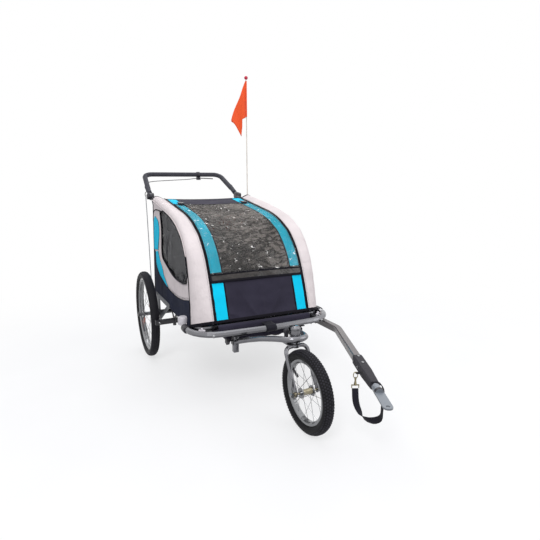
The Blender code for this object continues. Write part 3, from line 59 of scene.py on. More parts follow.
# Sizes of the cabin, as in the solids. Lengths are in metres, y from the rear axle.
SIDE_X = 0.3305
SIDE_BOTTOM = 0.3365
SIDE_LEAN = 0.02575
REAR_Y = 0.103
BAND_X = 0.240
STRIPE_X = 0.1753
HOOD_PROFILE = (
    (0.120, 0.904), (-0.060, 0.878), (-0.217, 0.855), (-0.330, 0.837), (-0.423, 0.812), (-0.495, 0.781),
    (-0.556, 0.746), (-0.630, 0.670), (-0.679, 0.582), (-0.720, 0.480), (-0.755, 0.378))
SEAM_LOW = (
    (-0.700, 0.474), (-0.638, 0.467), (-0.540, 0.447), (-0.426, 0.436), (-0.281, 0.438), (-0.216, 0.449),
    (-0.147, 0.460), (-0.063, 0.479), (-0.002, 0.500), (0.034, 0.530), (0.046, 0.570), (0.060, 0.598),
    (0.103, 0.610))
WINDOW_LOW = (
    (-0.090, 0.846), (-0.084, 0.834), (-0.098, 0.798), (-0.111, 0.748), (-0.112, 0.686), (-0.108, 0.632),
    (-0.128, 0.592), (-0.196, 0.571), (-0.272, 0.551), (-0.345, 0.535), (-0.440, 0.527), (-0.552, 0.532),
    (-0.612, 0.543))
CORNER_PIPING = (
    (0.099, 0.780), (0.094, 0.812), (0.076, 0.836), (0.040, 0.8465), (-0.020, 0.8485), (-0.090, 0.8460))
# outer and inner edge of the blue lobes
LOBE_UPPER = (
    ((0.056, 0.806), (0.040, 0.810)), ((0.083, 0.780), (-0.030, 0.786)), ((0.088, 0.730), (-0.052, 0.735)),
    ((0.088, 0.670), (-0.038, 0.677)), ((0.086, 0.612), (-0.016, 0.620)))
LOBE_LOWER = (
    ((0.048, 0.603), (-0.014, 0.614)), ((0.041, 0.562), (-0.045, 0.581)), ((0.028, 0.524), (-0.112, 0.534)),
    ((-0.040, 0.488), (-0.142, 0.503)), ((-0.147, 0.462), (-0.196, 0.474)),
    ((-0.236, 0.449), (-0.240, 0.4505)))
WINDOW_MIDDLE = Vector((-0.330, 0.685))
FLOOR_FRONT_Y = -0.7825
FLOOR_CORNER = 0.115
FLOOR_Z = 0.3380
FLOOR_EDGE = 0.003
LOWER_SIDE_Z = 0.3385
WELL_X, WELL_REAR_Y, WELL_FRONT_Y, WELL_Z = 0.190, -0.450, -0.745, 0.275
POCKET_X, POCKET_LOW, POCKET_HIGH = 0.27, 0.372, 0.640
SEAT_LOW, SEAT_HIGH = Vector((-0.004, 0.412)), Vector((0.056, 0.850))
SEAT_LIFT = 0.004
CLOTH = 0.0016
HEAVY_CLOTH = 0.0014

# Parts of the hood, as shares of its length from the rear, and half widths of the clear cover.
FILM_START, FILM_END = 0.166, 0.838
MESH_START, MESH_END = 0.150, 0.798
HEM_START = 0.804
FILM_X, HEM_X = 0.2355, 0.2365
HEM_CORNER = 0.013
BUCKLE_X = 0.193

# Wheels, wheel arm, tow gear and flag, as in the solids.
REAR_WHEEL_X, REAR_RADIUS = 0.403, 0.2475
FRONT_WHEEL_X, FRONT_WHEEL_Y, FRONT_RADIUS = 0.0036, -1.14993, 0.1725
FRONT_TURN = 0.04
STEER_Y = -1.06
POST_X, POST_Y, POST_FRONT = 0.150, -0.765, -0.7790
# distance from the steering axis, height of the tube's middle
ARM_HEIGHTS = (
    (0.0, 0.3775), (0.036, 0.3762), (0.062, 0.3680), (0.104, 0.3575), (0.163, 0.3425), (0.249, 0.3146),
    (0.320, 0.2885), (0.340, 0.2815))
TOW_START, TOW_BEND = Vector((0.330, -0.450)), Vector((0.336, -0.877))
TOW_END, TOW_TIP = Vector((0.177, -1.266)), Vector((0.104, -1.445))
TOW_Z = 0.305
POLE_X, POLE_Y = 0.3115, 0.163
PENNANT_TOP, POLE_TOP = 1.640, 1.6539


def even(start, end, count):
    return [start + (end - start) * k / count for k in range(count + 1)]


def graded(*stretches):
    """Places along a line, each stretch given by its start, end and number of steps."""
    return sorted({place for stretch in stretches for place in even(*stretch)})


def smooth_step(value):
    value = min(1.0, max(0.0, value))
    return value * value * (3 - 2 * value)


def hold(*shares):
    """The least of the shares, between 0 at an edge and 1 away from all edges."""
    return max(0.0, min(1.0, *shares))


def waver(x, y, z):
    """Smooth noise, from about -1 to 1."""
    return noise.noise(Vector((x, y, z)))


def at(x, y, z):
    """Point given by its y from the rear axle."""
    return Vector((x, y + Y0, z))


def ring_angles(count):
    return even(0, 2 * math.pi, count)[:-1]


def tangent_at(points, k):
    return (points[min(k + 1, len(points) - 1)] - points[max(k - 1, 0)]).normalized()


def spline_through(points, each):
    """Smooth curve through points of any dimension."""
    points = [Vector(p) for p in points]
    points = [points[0] * 2 - points[1]] + points + [points[-1] * 2 - points[-2]]
    out = []
    for k in range(1, len(points) - 2):
        p0, p1, p2, p3 = points[k - 1], points[k], points[k + 1], points[k + 2]
        for s in range(each):
            t = s / each
            out.append(0.5 * (2 * p1 + (p2 - p0) * t + (2 * p0 - 5 * p1 + 4 * p2 - p3) * t * t
                              + (3 * p1 - p0 - 3 * p2 + p3) * t * t * t))
    out.append(points[-2])
    return out


# Hood: t runs from 0 at the rear to 1 at the front hem.
HOOD_FINE = spline_through(HOOD_PROFILE, 10)
HOOD_LENGTHS = [0.0]
for first, second in zip(HOOD_FINE, HOOD_FINE[1:]):
    HOOD_LENGTHS.append(HOOD_LENGTHS[-1] + (second - first).length)
HOOD_LENGTH = HOOD_LENGTHS[-1]


def side_x(z):
    return SIDE_X - (z - SIDE_BOTTOM) * SIDE_LEAN


def hood_spot(t):
    """Point and normal of the hood's profile."""
    goal = max(0.0, min(1.0, t)) * HOOD_LENGTH
    index = 0
    while index < len(HOOD_LENGTHS) - 2 and HOOD_LENGTHS[index + 1] < goal:
        index += 1
    part = (goal - HOOD_LENGTHS[index]) / (HOOD_LENGTHS[index + 1] - HOOD_LENGTHS[index])
    last = len(HOOD_FINE) - 1
    point = HOOD_FINE[index].lerp(HOOD_FINE[index + 1], part)
    before = HOOD_FINE[max(0, index - 3)].lerp(HOOD_FINE[max(0, index - 2)], part)
    after = HOOD_FINE[min(last, index + 3)].lerp(HOOD_FINE[min(last, index + 4)], part)
    along = (after - before).normalized()
    return point, Vector((along.y, -along.x))


def corner_radius(t):
    return 0.024 + 0.070 * max(0.0, (t - 0.55) / 0.45) ** 2


def edge_lift(t):
    return 0.018 * (1 - smooth_step((t - 0.25) / 0.6))


def centre_bulge(t):
    return -0.006 + 0.018 * smooth_step((t - 0.35) / 0.5)


def seam_yz(t, inset=0.0):
    """Middle of the hood's corner in the y-z plane, where the side seam runs."""
    spot, normal = hood_spot(t)
    p = spot + normal * (edge_lift(t) - corner_radius(t) - inset)
    return Vector((p.x, p.y))


def hood_edge(t):
    """Cross positions at which the corner starts and at which it reaches the side seam."""
    radius = corner_radius(t)
    start = side_x(seam_yz(t).y) - radius
    return start, start + radius * math.pi / 2


def hood_point(t, x, lift=0.0):
    """Point of the hood at a signed cross position. Beyond the corner's start, x runs on round the corner."""
    spot, normal = hood_spot(t)
    radius, rise_edge = corner_radius(t), edge_lift(t)
    start = hood_edge(t)[0]
    sign, x = (1 if x >= 0 else -1), abs(x)
    if x <= start:
        if x < BAND_X:
            rise = centre_bulge(t) * (1 - (x / BAND_X) ** 2)
        else:
            rise = rise_edge * smooth_step((x - BAND_X) / max(0.001, start - BAND_X))
        p = spot + normal * (rise + lift)
        return at(sign * x, p.x, p.y)
    turn = min(math.pi / 2, (x - start) / radius)
    p = spot + normal * (rise_edge - radius + (radius + lift) * math.cos(turn))
    return at(sign * (start + (radius + lift) * math.sin(turn)), p.x, p.y)


def hood_normal(t, x):
    return (hood_point(t, x, 0.01) - hood_point(t, x)).normalized()


def hood_line(x, t0, t1, count, lift):
    """Line along the hood, with its normals."""
    ts = even(t0, t1, count)
    return [hood_point(t, x, lift) for t in ts], [hood_normal(t, x) for t in ts]


def hood_cross(t, reach, count, lift):
    """Line across the hood, with its normals."""
    xs = even(-reach, reach, count)
    return [hood_point(t, x, lift) for x in xs], [hood_normal(t, x) for x in xs]


# Materials
def srgb(red, green, blue):
    """Linear colour from 0 to 255 display values."""
    out = []
    for value in (red, green, blue):
        value /= 255
        out.append(value / 12.92 if value <= 0.04045 else ((value + 0.055) / 1.055) ** 2.4)
    return (*out, 1.0)


def shade(colour, factor):
    return (*[min(1.0, c * factor) for c in colour[:3]], 1.0)


def set_inputs(node, **values):
    """Fixed values of a node, its inputs named with _ for each space."""
    for key, value in values.items():
        node.inputs[key.replace("_", " ")].default_value = value


def add(tree, kind, **values):
    """New node with its values. Names that are no input of the node are its own settings."""
    node = tree.nodes.new(kind)
    for key, value in values.items():
        if key.replace("_", " ") in node.inputs:
            set_inputs(node, **{key: value})
        else:
            setattr(node, key, value)
    return node


def coords(tree, scale=(1, 1, 1), turn=(0, 0, 0)):
    mapping = add(tree, "ShaderNodeMapping", Scale=scale, Rotation=turn)
    tree.links.new(add(tree, "ShaderNodeTexCoord").outputs["Object"], mapping.inputs["Vector"])
    return mapping.outputs["Vector"]


def new_look(name):
    """New material with its tree, its shader and its object coordinates."""
    material = bpy.data.materials.new(name)
    material.use_nodes = True
    tree = material.node_tree
    return material, tree, tree.nodes["Principled BSDF"], coords(tree)


def noise_node(tree, vector, scale, detail=4.0, rough=0.55):
    node = add(tree, "ShaderNodeTexNoise", Scale=scale, Detail=detail, Roughness=rough)
    tree.links.new(vector, node.inputs["Vector"])
    return node.outputs["Fac"]


def cells_node(tree, vector, scale):
    node = add(tree, "ShaderNodeTexVoronoi", Scale=scale)
    tree.links.new(vector, node.inputs["Vector"])
    return node.outputs["Distance"]


def parted(tree, vector, axis):
    """One coordinate of a vector."""
    node = add(tree, "ShaderNodeSeparateXYZ")
    tree.links.new(vector, node.inputs[0])
    return node.outputs[axis]


def ramp(tree, fac, low, high, first, second):
    node = add(tree, "ShaderNodeValToRGB")
    for element, position, colour in zip(node.color_ramp.elements, (low, high), (first, second)):
        element.position = position
        element.color = colour
    tree.links.new(fac, node.inputs["Fac"])
    return node.outputs["Color"]


def tint(tree, shader, fac, low, high, first, second):
    """Colour of the shader, between two colours by a factor."""
    tree.links.new(ramp(tree, fac, low, high, first, second), shader.inputs["Base Color"])


def maths(tree, operation, *values, clamp=False):
    node = add(tree, "ShaderNodeMath", operation=operation, use_clamp=clamp)
    for socket, value in zip(node.inputs, values):
        if isinstance(value, (int, float)):
            socket.default_value = value
        else:
            tree.links.new(value, socket)
    return node.outputs[0]


def lines_of(tree, crack, sharpness):
    """Thin lines where a noise crosses its middle level."""
    off = maths(tree, "ABSOLUTE", maths(tree, "SUBTRACT", crack, 0.5))
    return maths(tree, "SUBTRACT", 1.0, maths(tree, "MULTIPLY", off, sharpness), clamp=True)


def weave_height(tree, pitch):
    """Threads over and under each other, on any face of the object."""
    out = None
    for turn in ((0, 0, 0), (0, 0, math.pi / 2), (0, math.pi / 2, 0)):
        wave = add(tree, "ShaderNodeTexWave", Scale=0.314 / pitch, Distortion=0.6, Detail=1.0)
        tree.links.new(coords(tree, turn=turn), wave.inputs["Vector"])
        out = wave.outputs["Fac"] if out is None else maths(tree, "ADD", out, wave.outputs["Fac"])
    return out


def bump(tree, height, strength, distance, before=None, shader=None):
    """Relief on top of the relief before, given to the shader where there is one."""
    node = add(tree, "ShaderNodeBump", Strength=strength, Distance=distance)
    tree.links.new(height, node.inputs["Height"])
    if before is not None:
        tree.links.new(before, node.inputs["Normal"])
    if shader is not None:
        tree.links.new(node.outputs["Normal"], shader.inputs["Normal"])
    return node.outputs["Normal"]


def rough_patches(tree, shader, vector, scale, detail, rough, spread):
    """Roughness that wanders by half the spread either way."""
    patches = noise_node(tree, vector, scale, detail)
    level = maths(tree, "MULTIPLY_ADD", patches, spread, rough - spread / 2)
    tree.links.new(level, shader.inputs["Roughness"])


def mix_shaders(tree, share, first, second):
    mix = add(tree, "ShaderNodeMixShader")
    for source, socket in zip((share, first, second), mix.inputs):
        tree.links.new(source, socket)
    return mix.outputs[0]


def cloth(name, colour, pitch=0.0016, sheen=0.25, rough=0.82, crease=0.0012, dirt=0.90):
    """Coated woven cloth: threads, soft creases, a little unevenness of tone."""
    material, tree, shader, vector = new_look(name)
    tone = noise_node(tree, vector, 7.0, 5.0)
    tint(tree, shader, tone, 0.3, 0.75, shade(colour, dirt), shade(colour, 1.05))
    set_inputs(shader, Roughness=rough, Sheen_Weight=sheen, Sheen_Roughness=0.5, Specular_IOR_Level=0.12)
    folds = noise_node(tree, coords(tree, (1.0, 1.6, 0.7)), 16.0, 3.0)
    first = bump(tree, folds, 0.55, crease * 6)
    bump(tree, weave_height(tree, pitch), 0.35, 0.00025, first, shader)
    return material


def metal(name, colour, rough=0.32, metallic=0.85, coat=0.25):
    """Enamelled or plated metal with slight marks, with painted shade where it faces down and a painted
    highlight where it faces up.
    """
    material, tree, shader, vector = new_look(name)
    marks = noise_node(tree, vector, 22.0, 6.0, 0.6)
    # painted shade and highlight: the colour runs from dark where the surface faces down to light where it
    # faces up, mixed with random marks
    upward = parted(tree, add(tree, "ShaderNodeTexCoord").outputs["Normal"], "Z")
    painted_light_and_marks = maths(tree, "MULTIPLY_ADD", upward, 0.34, 0.34)
    painted_light_and_marks = maths(tree, "MULTIPLY_ADD", marks, 0.40, painted_light_and_marks)
    tint(tree, shader, painted_light_and_marks, 0.10, 0.80, shade(colour, 0.396), shade(colour, 1.30))
    rough_patches(tree, shader, vector, 30.0, 3.0, rough, 0.06)
    set_inputs(shader, Metallic=metallic, Coat_Weight=coat, Coat_Roughness=0.15)
    bump(tree, noise_node(tree, vector, 160.0, 2.0), 0.05, 0.00008, shader=shader)
    return material


def plastic(name, colour, rough=0.45, grain=520.0, strength=0.18):
    """Moulded plastic or foam with a fine grain."""
    material, tree, shader, vector = new_look(name)
    tint(tree, shader, noise_node(tree, vector, 30.0), 0.3, 0.75, shade(colour, 0.8), shade(colour, 1.15))
    rough_patches(tree, shader, vector, 60.0, 4.0, rough, 0.2)
    bump(tree, noise_node(tree, vector, grain, 2.0), strength, 0.0003, shader=shader)
    return material


def rubber(name, colour):
    """Rubber with a dusty, pitted skin."""
    material, tree, shader, vector = new_look(name)
    pits = cells_node(tree, vector, 420.0)
    dust = maths(tree, "MULTIPLY", noise_node(tree, vector, 40.0, 5.0), 0.8)
    dust = maths(tree, "ADD", dust, maths(tree, "MULTIPLY", pits, 0.2), clamp=True)
    tint(tree, shader, dust, 0.25, 0.8, shade(colour, 0.6), shade(colour, 1.7))
    set_inputs(shader, Roughness=0.62, Specular_IOR_Level=0.2)
    bump(tree, pits, 0.35, 0.0006, shader=shader)
    return material


def film_look(name, colour, gloss, painted_glint_share, rough=0.07, folds=26.0):
    """Clear soft vinyl: seen through, with a gloss that follows its creases, and painted glints: thin noise
    lines, laid apart from the creases, where more of it turns to gloss.
    """
    material, tree, shader, vector = new_look(name)
    tree.nodes.remove(shader)
    # painted glints: scattered thin lines from a noise of their own raise the share of a real gloss, which
    # there still reflects the lamps and the white background
    line = lines_of(tree, noise_node(tree, coords(tree, (1.0, 1.7, 1.9)), 19.0, 3.0, 0.6), 34.0)
    where = maths(tree, "SUBTRACT", noise_node(tree, vector, 34.0, 2.0), 0.625)
    where = maths(tree, "MULTIPLY", where, 16.0, clamp=True)
    painted_glint = maths(tree, "MULTIPLY", maths(tree, "MULTIPLY", line, where), painted_glint_share)
    folded = bump(tree, noise_node(tree, coords(tree, (1.0, 1.9, 1.9)), folds, 3.0, 0.6), 0.9, 0.004)
    fine = bump(tree, noise_node(tree, vector, 120.0, 2.0), 0.25, 0.0008, folded)
    edge = add(tree, "ShaderNodeFresnel", IOR=1.5)
    tree.links.new(fine, edge.inputs["Normal"])
    share = maths(tree, "ADD", maths(tree, "MINIMUM", edge.outputs["Fac"], gloss), painted_glint, clamp=True)
    clear = add(tree, "ShaderNodeBsdfTransparent")
    tone = noise_node(tree, vector, 12.0)
    tree.links.new(ramp(tree, tone, 0.3, 0.7, shade(colour, 0.90), colour), clear.inputs["Color"])
    shine = add(tree, "ShaderNodeBsdfAnisotropic", Roughness=rough, Color=(1.0, 1.0, 1.0, 1.0))
    tree.links.new(fine, shine.inputs["Normal"])
    both = mix_shaders(tree, share, clear.outputs[0], shine.outputs[0])
    tree.links.new(both, tree.nodes["Material Output"].inputs["Surface"])
    return material


def dark_film_look(name, colour):
    """Doubled, bound vinyl over dark cloth."""
    material, tree, shader, vector = new_look(name)
    tone = noise_node(tree, coords(tree, (1.0, 2.0, 2.0)), 24.0)
    tint(tree, shader, tone, 0.40, 0.70, shade(colour, 0.5), shade(colour, 2.2))
    set_inputs(shader, Roughness=0.16, Specular_IOR_Level=0.5)
    first = bump(tree, noise_node(tree, coords(tree, (1.0, 1.9, 1.9)), 30.0, 3.0, 0.6), 0.9, 0.004)
    bump(tree, noise_node(tree, vector, 130.0, 2.0), 0.2, 0.0006, first, shader)
    return material


def mesh_look(name, dark, pale, alpha):
    """Open knitted mesh, in darker and paler patches where the inside shows more or less, with painted shade
    in dark lines along its folds.
    """
    material, tree, shader, vector = new_look(name)
    cells = cells_node(tree, vector, 420.0)
    # painted shade: dark lines along the folds, taken off the tone
    fold = lines_of(tree, noise_node(tree, coords(tree, (1.0, 1.9, 1.9)), 20.0, 3.0), 11.0)
    tone = maths(tree, "ADD", maths(tree, "MULTIPLY", cells, 0.10), noise_node(tree, vector, 4.5, 5.0))
    tone = maths(tree, "SUBTRACT", tone, maths(tree, "MULTIPLY", fold, 0.30))
    tone = maths(tree, "ADD", tone, maths(tree, "MULTIPLY", parted(tree, vector, "X"), 0.45))
    tint(tree, shader, tone, 0.38, 0.68, dark, pale)
    set_inputs(shader, Roughness=0.8, Alpha=alpha)
    first = bump(tree, noise_node(tree, coords(tree, (1.0, 2.0, 2.0)), 22.0, 3.0), 0.6, 0.006)
    bump(tree, cells, 0.3, 0.0005, first, shader)
    return material


LIGHT = cloth("light_cloth_look", srgb(232, 222, 222), 0.0016, 0.04, 0.85, 0.0032, 0.93)
BLUE = cloth("blue_cloth_look", srgb(10, 213, 255), 0.0016, 0.04, 0.8, 0.0010, 0.88)
BLACK = cloth("black_cloth_look", srgb(54, 51, 66), 0.0016, 0.04, 0.8, 0.0012, 0.75)
SIDE_BLACK = cloth("side_black_look", srgb(14, 22, 46), 0.0016, 0.02, 0.8, 0.0012, 0.75)
BINDING = cloth("binding_look", srgb(20, 18, 26), 0.0012, 0.03, 0.75, 0.0004, 0.75)
MESH = mesh_look("mesh_look", srgb(14, 14, 18), srgb(140, 136, 134), 0.94)
SIDE_MESH = mesh_look("side_mesh_look", srgb(54, 55, 62), srgb(116, 112, 114), 0.42)
FILM = film_look("film_look", srgb(244, 242, 240), 0.022, 0.70)
HEM_FILM = dark_film_look("film_hem_look", srgb(40, 36, 35))
SIDE_FILM = film_look("side_film_look", srgb(236, 236, 238), 0.05, 0.30, 0.09, 12.0)
WEBBING = cloth("webbing_look", srgb(34, 33, 42), 0.0022, 0.06, 0.7, 0.0004, 0.75)
PAD = cloth("pad_look", srgb(58, 56, 66), 0.0022, 0.3, 0.85, 0.0008, 0.8)
ORANGE = cloth("orange_cloth_look", srgb(252, 96, 50), 0.0012, 0.2, 0.7, 0.0010, 0.92)
STITCH_LIGHT = plastic("stitch_light_look", srgb(120, 118, 130), 0.6)
STITCH_DARK = plastic("stitch_dark_look", srgb(40, 36, 50), 0.6)
SILVER = metal("silver_tube_look", srgb(118, 118, 122), 0.21, 0.80, 0.0)
PEWTER = metal("pewter_look", srgb(92, 87, 88), 0.32, 0.25, 0.3)
DARK_STEEL = metal("dark_steel_look", srgb(32, 32, 38), 0.42, 0.25)
GREY_STEEL = metal("grey_steel_look", srgb(116, 121, 128), 0.42, 0.12)
FRAME_STEEL = metal("frame_steel_look", srgb(72, 75, 82), 0.42, 0.12)
BRIGHT = metal("bright_steel_look", srgb(132, 133, 135), 0.20, 0.80, 0.0)
BRASSY = metal("hook_look", srgb(140, 130, 100), 0.3, 0.7)
AXLE = metal("axle_look", srgb(158, 150, 126), 0.3, 0.7)
HANDLE = metal("handle_look", srgb(46, 46, 54), 0.42, 0.2)
PLASTIC = plastic("black_plastic_look", srgb(36, 34, 42))
GREY_PLASTIC = plastic("grey_plastic_look", srgb(216, 212, 217), 0.5)
FOAM = plastic("foam_look", srgb(62, 62, 70), 0.85, 900.0, 0.5)
CABLE = plastic("cable_look", srgb(150, 150, 154), 0.4)
POLE = plastic("pole_look", srgb(228, 218, 206), 0.4)
BALL = plastic("ball_look", srgb(196, 22, 62), 0.35)
AMBER = plastic("amber_look", srgb(214, 92, 48), 0.2)
FLEX = plastic("flex_look", srgb(34, 32, 40), 0.7)
TYRE_LINE = plastic("tyre_line_look", srgb(96, 92, 100), 0.7)
RUBBER = rubber("tyre_look", srgb(14, 14, 17))
KNOB = rubber("tyre_knob_look", srgb(44, 43, 49))


# Making pieces
def keep(item, material, body="chassis", slot=None, smooth=True):
    if material is not None:
        item.data.materials.clear()
        for one in (material if isinstance(material, (list, tuple)) else [material]):
            item.data.materials.append(one)
    if smooth and item.type == "MESH":
        item.data.shade_smooth()
    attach(item, body)
    return item


def linked(name, data):
    """New object in the scene."""
    item = bpy.data.objects.new(name, data)
    bpy.context.scene.collection.objects.link(item)
    return item


def mesh_item(name, vertices, faces):
    mesh = bpy.data.meshes.new(name)
    mesh.from_pydata([tuple(v) for v in vertices], [], faces)
    mesh.update()
    return linked(name, mesh)


def give_materials(item, picks):
    for polygon, pick in zip(item.data.polygons, picks):
        polygon.material_index = pick


def solid_skin(item, thick, offset=-1.0):
    skin = item.modifiers.new("thickness", "SOLIDIFY")
    skin.thickness = thick
    skin.offset = offset
    return item


def grid_piece(name, rows, material, thick=CLOTH, choose=None, flip=False, offset=-1.0, slot=None,
               body="chassis", push=None):
    """Sheet from rows of points. choose(i, j) gives a face's material, push(point, normal) moves a point."""
    wide = len(rows[0])
    faces, picks = [], []
    for i in range(len(rows) - 1):
        for j in range(wide - 1):
            a = i * wide + j
            ring = (a, a + 1, a + wide + 1, a + wide)
            faces.append(tuple(reversed(ring)) if flip else ring)
            picks.append(choose(i, j) if choose else 0)
    item = mesh_item(name, [p for row in rows for p in row], faces)
    if push:
        normals = [v.normal.copy() for v in item.data.vertices]
        for vertex, normal in zip(item.data.vertices, normals):
            vertex.co = push(vertex.co.copy(), normal)
        item.data.update()
    keep(item, material, body, slot)
    give_materials(item, picks)
    return solid_skin(item, thick, offset)


def pipe(name, points, radius, material, body="chassis", slot=None, cyclic=False, resolution=2):
    curve = bpy.data.curves.new(name, "CURVE")
    curve.dimensions = "3D"
    curve.bevel_depth = radius
    curve.bevel_resolution = resolution
    curve.use_fill_caps = not cyclic
    spline = curve.splines.new("POLY")
    spline.points.add(len(points) - 1)
    for place, point in zip(spline.points, points):
        place.co = (*point, 1.0)
    spline.use_cyclic_u = cyclic
    return keep(linked(name, curve), material, body, slot)


def normals_for(points, normals):
    """A normal for each point, where one may stand for all of them."""
    if not isinstance(normals, list):
        normals = [normals] * len(points)
    return [Vector(normal).normalized() for normal in normals]


def tape(name, points, normals, wide, thick, material, slot="webbing", lift=0.0, crown=0.0):
    """Flat tape that follows points, its face along the normals."""
    rows = []
    for k, (point, normal) in enumerate(zip(points, normals_for(points, normals))):
        side = tangent_at(points, k).cross(normal).normalized()
        rows.append([point + side * (s * wide / 2) + normal * (lift + crown * (1 - s * s))
                     for s in (-1.0, -0.6, 0.0, 0.6, 1.0)])
    return grid_piece(name, rows, material, thick, slot=slot, flip=True, offset=1.0)


def stitches(name, points, normals, material):
    """Row of thread stitches along points."""
    pitch, length, half, high = 0.0070, 0.0042, 0.00045, 0.0006
    vertices, faces = [], []
    travelled, goal = 0.0, pitch
    for a, b, normal in zip(points, points[1:], normals_for(points, normals)):
        step = (b - a).length
        tangent = (b - a).normalized()
        side = tangent.cross(normal).normalized()
        while travelled + step >= goal:
            spot = a.lerp(b, (goal - travelled) / step)
            base = len(vertices)
            for along, up in ((-0.5, 0.0), (-0.3, 1.0), (0.3, 1.0), (0.5, 0.0)):
                foot = spot + tangent * (along * length) + normal * (high * up + 0.0001)
                vertices += [foot - side * half, foot + side * half]
            faces += [(base + q, base + q + 2, base + q + 3, base + q + 1) for q in (0, 2, 4)]
            goal += pitch
        travelled += step
    return solid_skin(keep(mesh_item(name, vertices, faces), material, slot="webbing"), 0.0004, 0.0)


def box_piece(name, centre, size, material, body="chassis", slot=None, bevel=0.002, turn=None):
    mesh = bpy.data.meshes.new(name)
    work = bmesh.new()
    bmesh.ops.create_cube(work, size=1.0)
    bmesh.ops.scale(work, vec=size, verts=work.verts)
    bmesh.ops.bevel(work, geom=list(work.edges), offset=bevel, segments=3, affect="EDGES", profile=0.5)
    if turn is not None:
        bmesh.ops.transform(work, matrix=turn, verts=work.verts)
    bmesh.ops.translate(work, vec=centre, verts=work.verts)
    work.to_mesh(mesh)
    work.free()
    item = keep(linked(name, mesh), material, body, slot)
    mesh.set_sharp_from_angle(angle=math.radians(40))
    return item


def aim(start, along, up=(0, 0, 1)):
    """Place at start with its z along the given way."""
    z = Vector(along).normalized()
    if abs(z.dot(Vector(up))) > 0.98:
        up = (0, 1, 0)
    x = Vector(up).cross(z).normalized()
    return Matrix.Translation(start) @ Matrix((x, z.cross(x), z)).transposed().to_4x4()


def loops_to_tube(rings, sides):
    """Faces of a closed tube, its vertices ring after ring."""
    faces = []
    for i in range(0, (rings - 1) * sides, sides):
        for k in range(sides):
            m = (k + 1) % sides
            faces.append((i + k, i + m, i + sides + m, i + sides + k))
    return faces + [tuple(reversed(range(sides))), tuple(range((rings - 1) * sides, rings * sides))]


def turned_piece(name, profile, start, axis, material, body="chassis", slot=None, steps=20):
    """Turned shape from (distance along the axis, radius)."""
    matrix = aim(start, axis)
    vertices = [matrix @ Vector((radius * math.cos(a), radius * math.sin(a), along))
                for along, radius in profile for a in ring_angles(steps)]
    item = keep(mesh_item(name, vertices, loops_to_tube(len(profile), steps)), material, body, slot)
    item.data.set_sharp_from_angle(angle=math.radians(35))
    return item


def bolt(name, spot, axis, radius=0.0065):
    profile = [(0, radius), (0.0015, radius), (0.0032, radius * 0.75), (0.0042, radius * 0.35),
               (0.0044, 0.0002)]
    turned_piece(name, profile, spot, axis, BRIGHT, slot="bright_steel", steps=14)


# Hood
def hood_rows(ts, columns):
    """Rows of the hood. A column is a cross position, and beyond BAND_X a share of the way to the seam."""
    rows = []
    for t in ts:
        edge = hood_edge(t)[1]
        row = []
        for c in columns:
            x = abs(c)
            if x > BAND_X + 0.0001:
                x = BAND_X + (edge - BAND_X) * (x - BAND_X)
            row.append(hood_point(t, -x if c < 0 else x))
        rows.append(row)
    return rows


def hood_push(p, normal):
    """Slack of the hood's cloth, held at its seams."""
    x = abs(p.x)
    seam = min(1.0, abs(x - BAND_X) / 0.02) * min(1.0, abs(x - STRIPE_X) / 0.012 + 0.2)
    soft, fine = waver(p.x * 5, p.y * 5, p.z * 5), waver(p.x * 13 + 7, p.y * 26, p.z * 26)
    if x > BAND_X:
        seam *= hold((0.36 - x) / 0.03)
        amount = 0.0034 * soft + 0.0016 * fine
    elif x > STRIPE_X:
        amount = 0.0014 * soft + 0.0018 * fine
    else:
        amount = 0.0042 * soft + 0.0030 * fine
    if x < STRIPE_X and p.z < 0.56:
        # folds run together at the middle of the hem, where the loop pulls the panel down
        share = (0.56 - p.z) / 0.18
        turn = math.atan2(p.x, p.z - 0.335)
        fold = abs(math.sin(turn * 5.5 + 0.5 * waver(turn * 2, p.z * 9, 4.0)))
        amount += 0.0090 * (0.45 - fold ** 0.6) * (0.25 + share)
        amount -= 0.003 * math.exp(-(p.x / 0.09) ** 2) * share
    calm = hold((p.z - 0.384) / 0.03, (REAR_Y + 0.012 + Y0 - p.y) / 0.03)
    return p + normal * (amount * seam * calm)


def cover():
    """Hood in one sheet: light bands, blue stripes, mesh between them, black at the top and front."""
    half = even(0.0, STRIPE_X, 26) + even(STRIPE_X, BAND_X, 4)[1:] + [BAND_X + k / 12 for k in range(1, 13)]
    columns = [-c for c in reversed(half[1:])] + half
    ts = even(0.0, MESH_START, 14) + even(MESH_START, MESH_END, 70)[1:]
    ts += even(MESH_END, FILM_END, 6)[1:] + even(FILM_END, 1.0, 34)[1:]
    light, blue, black, mesh = range(4)

    def choose(i, j):
        t = (ts[i] + ts[i + 1]) / 2
        x = abs((columns[j] + columns[j + 1]) / 2)
        if x > BAND_X:
            return light
        if x > STRIPE_X:
            return black if MESH_END < t < FILM_END else blue
        return mesh if MESH_START < t < MESH_END else black

    item = grid_piece("hood_cover", hood_rows(ts, columns), [LIGHT, BLUE, BLACK, MESH], CLOTH, choose, True,
                      slot="light_cloth", push=hood_push)
    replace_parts(item, "hood_band_left", "hood_band_right", "hood_stripe_left", "hood_stripe_right",
                "front_screen")


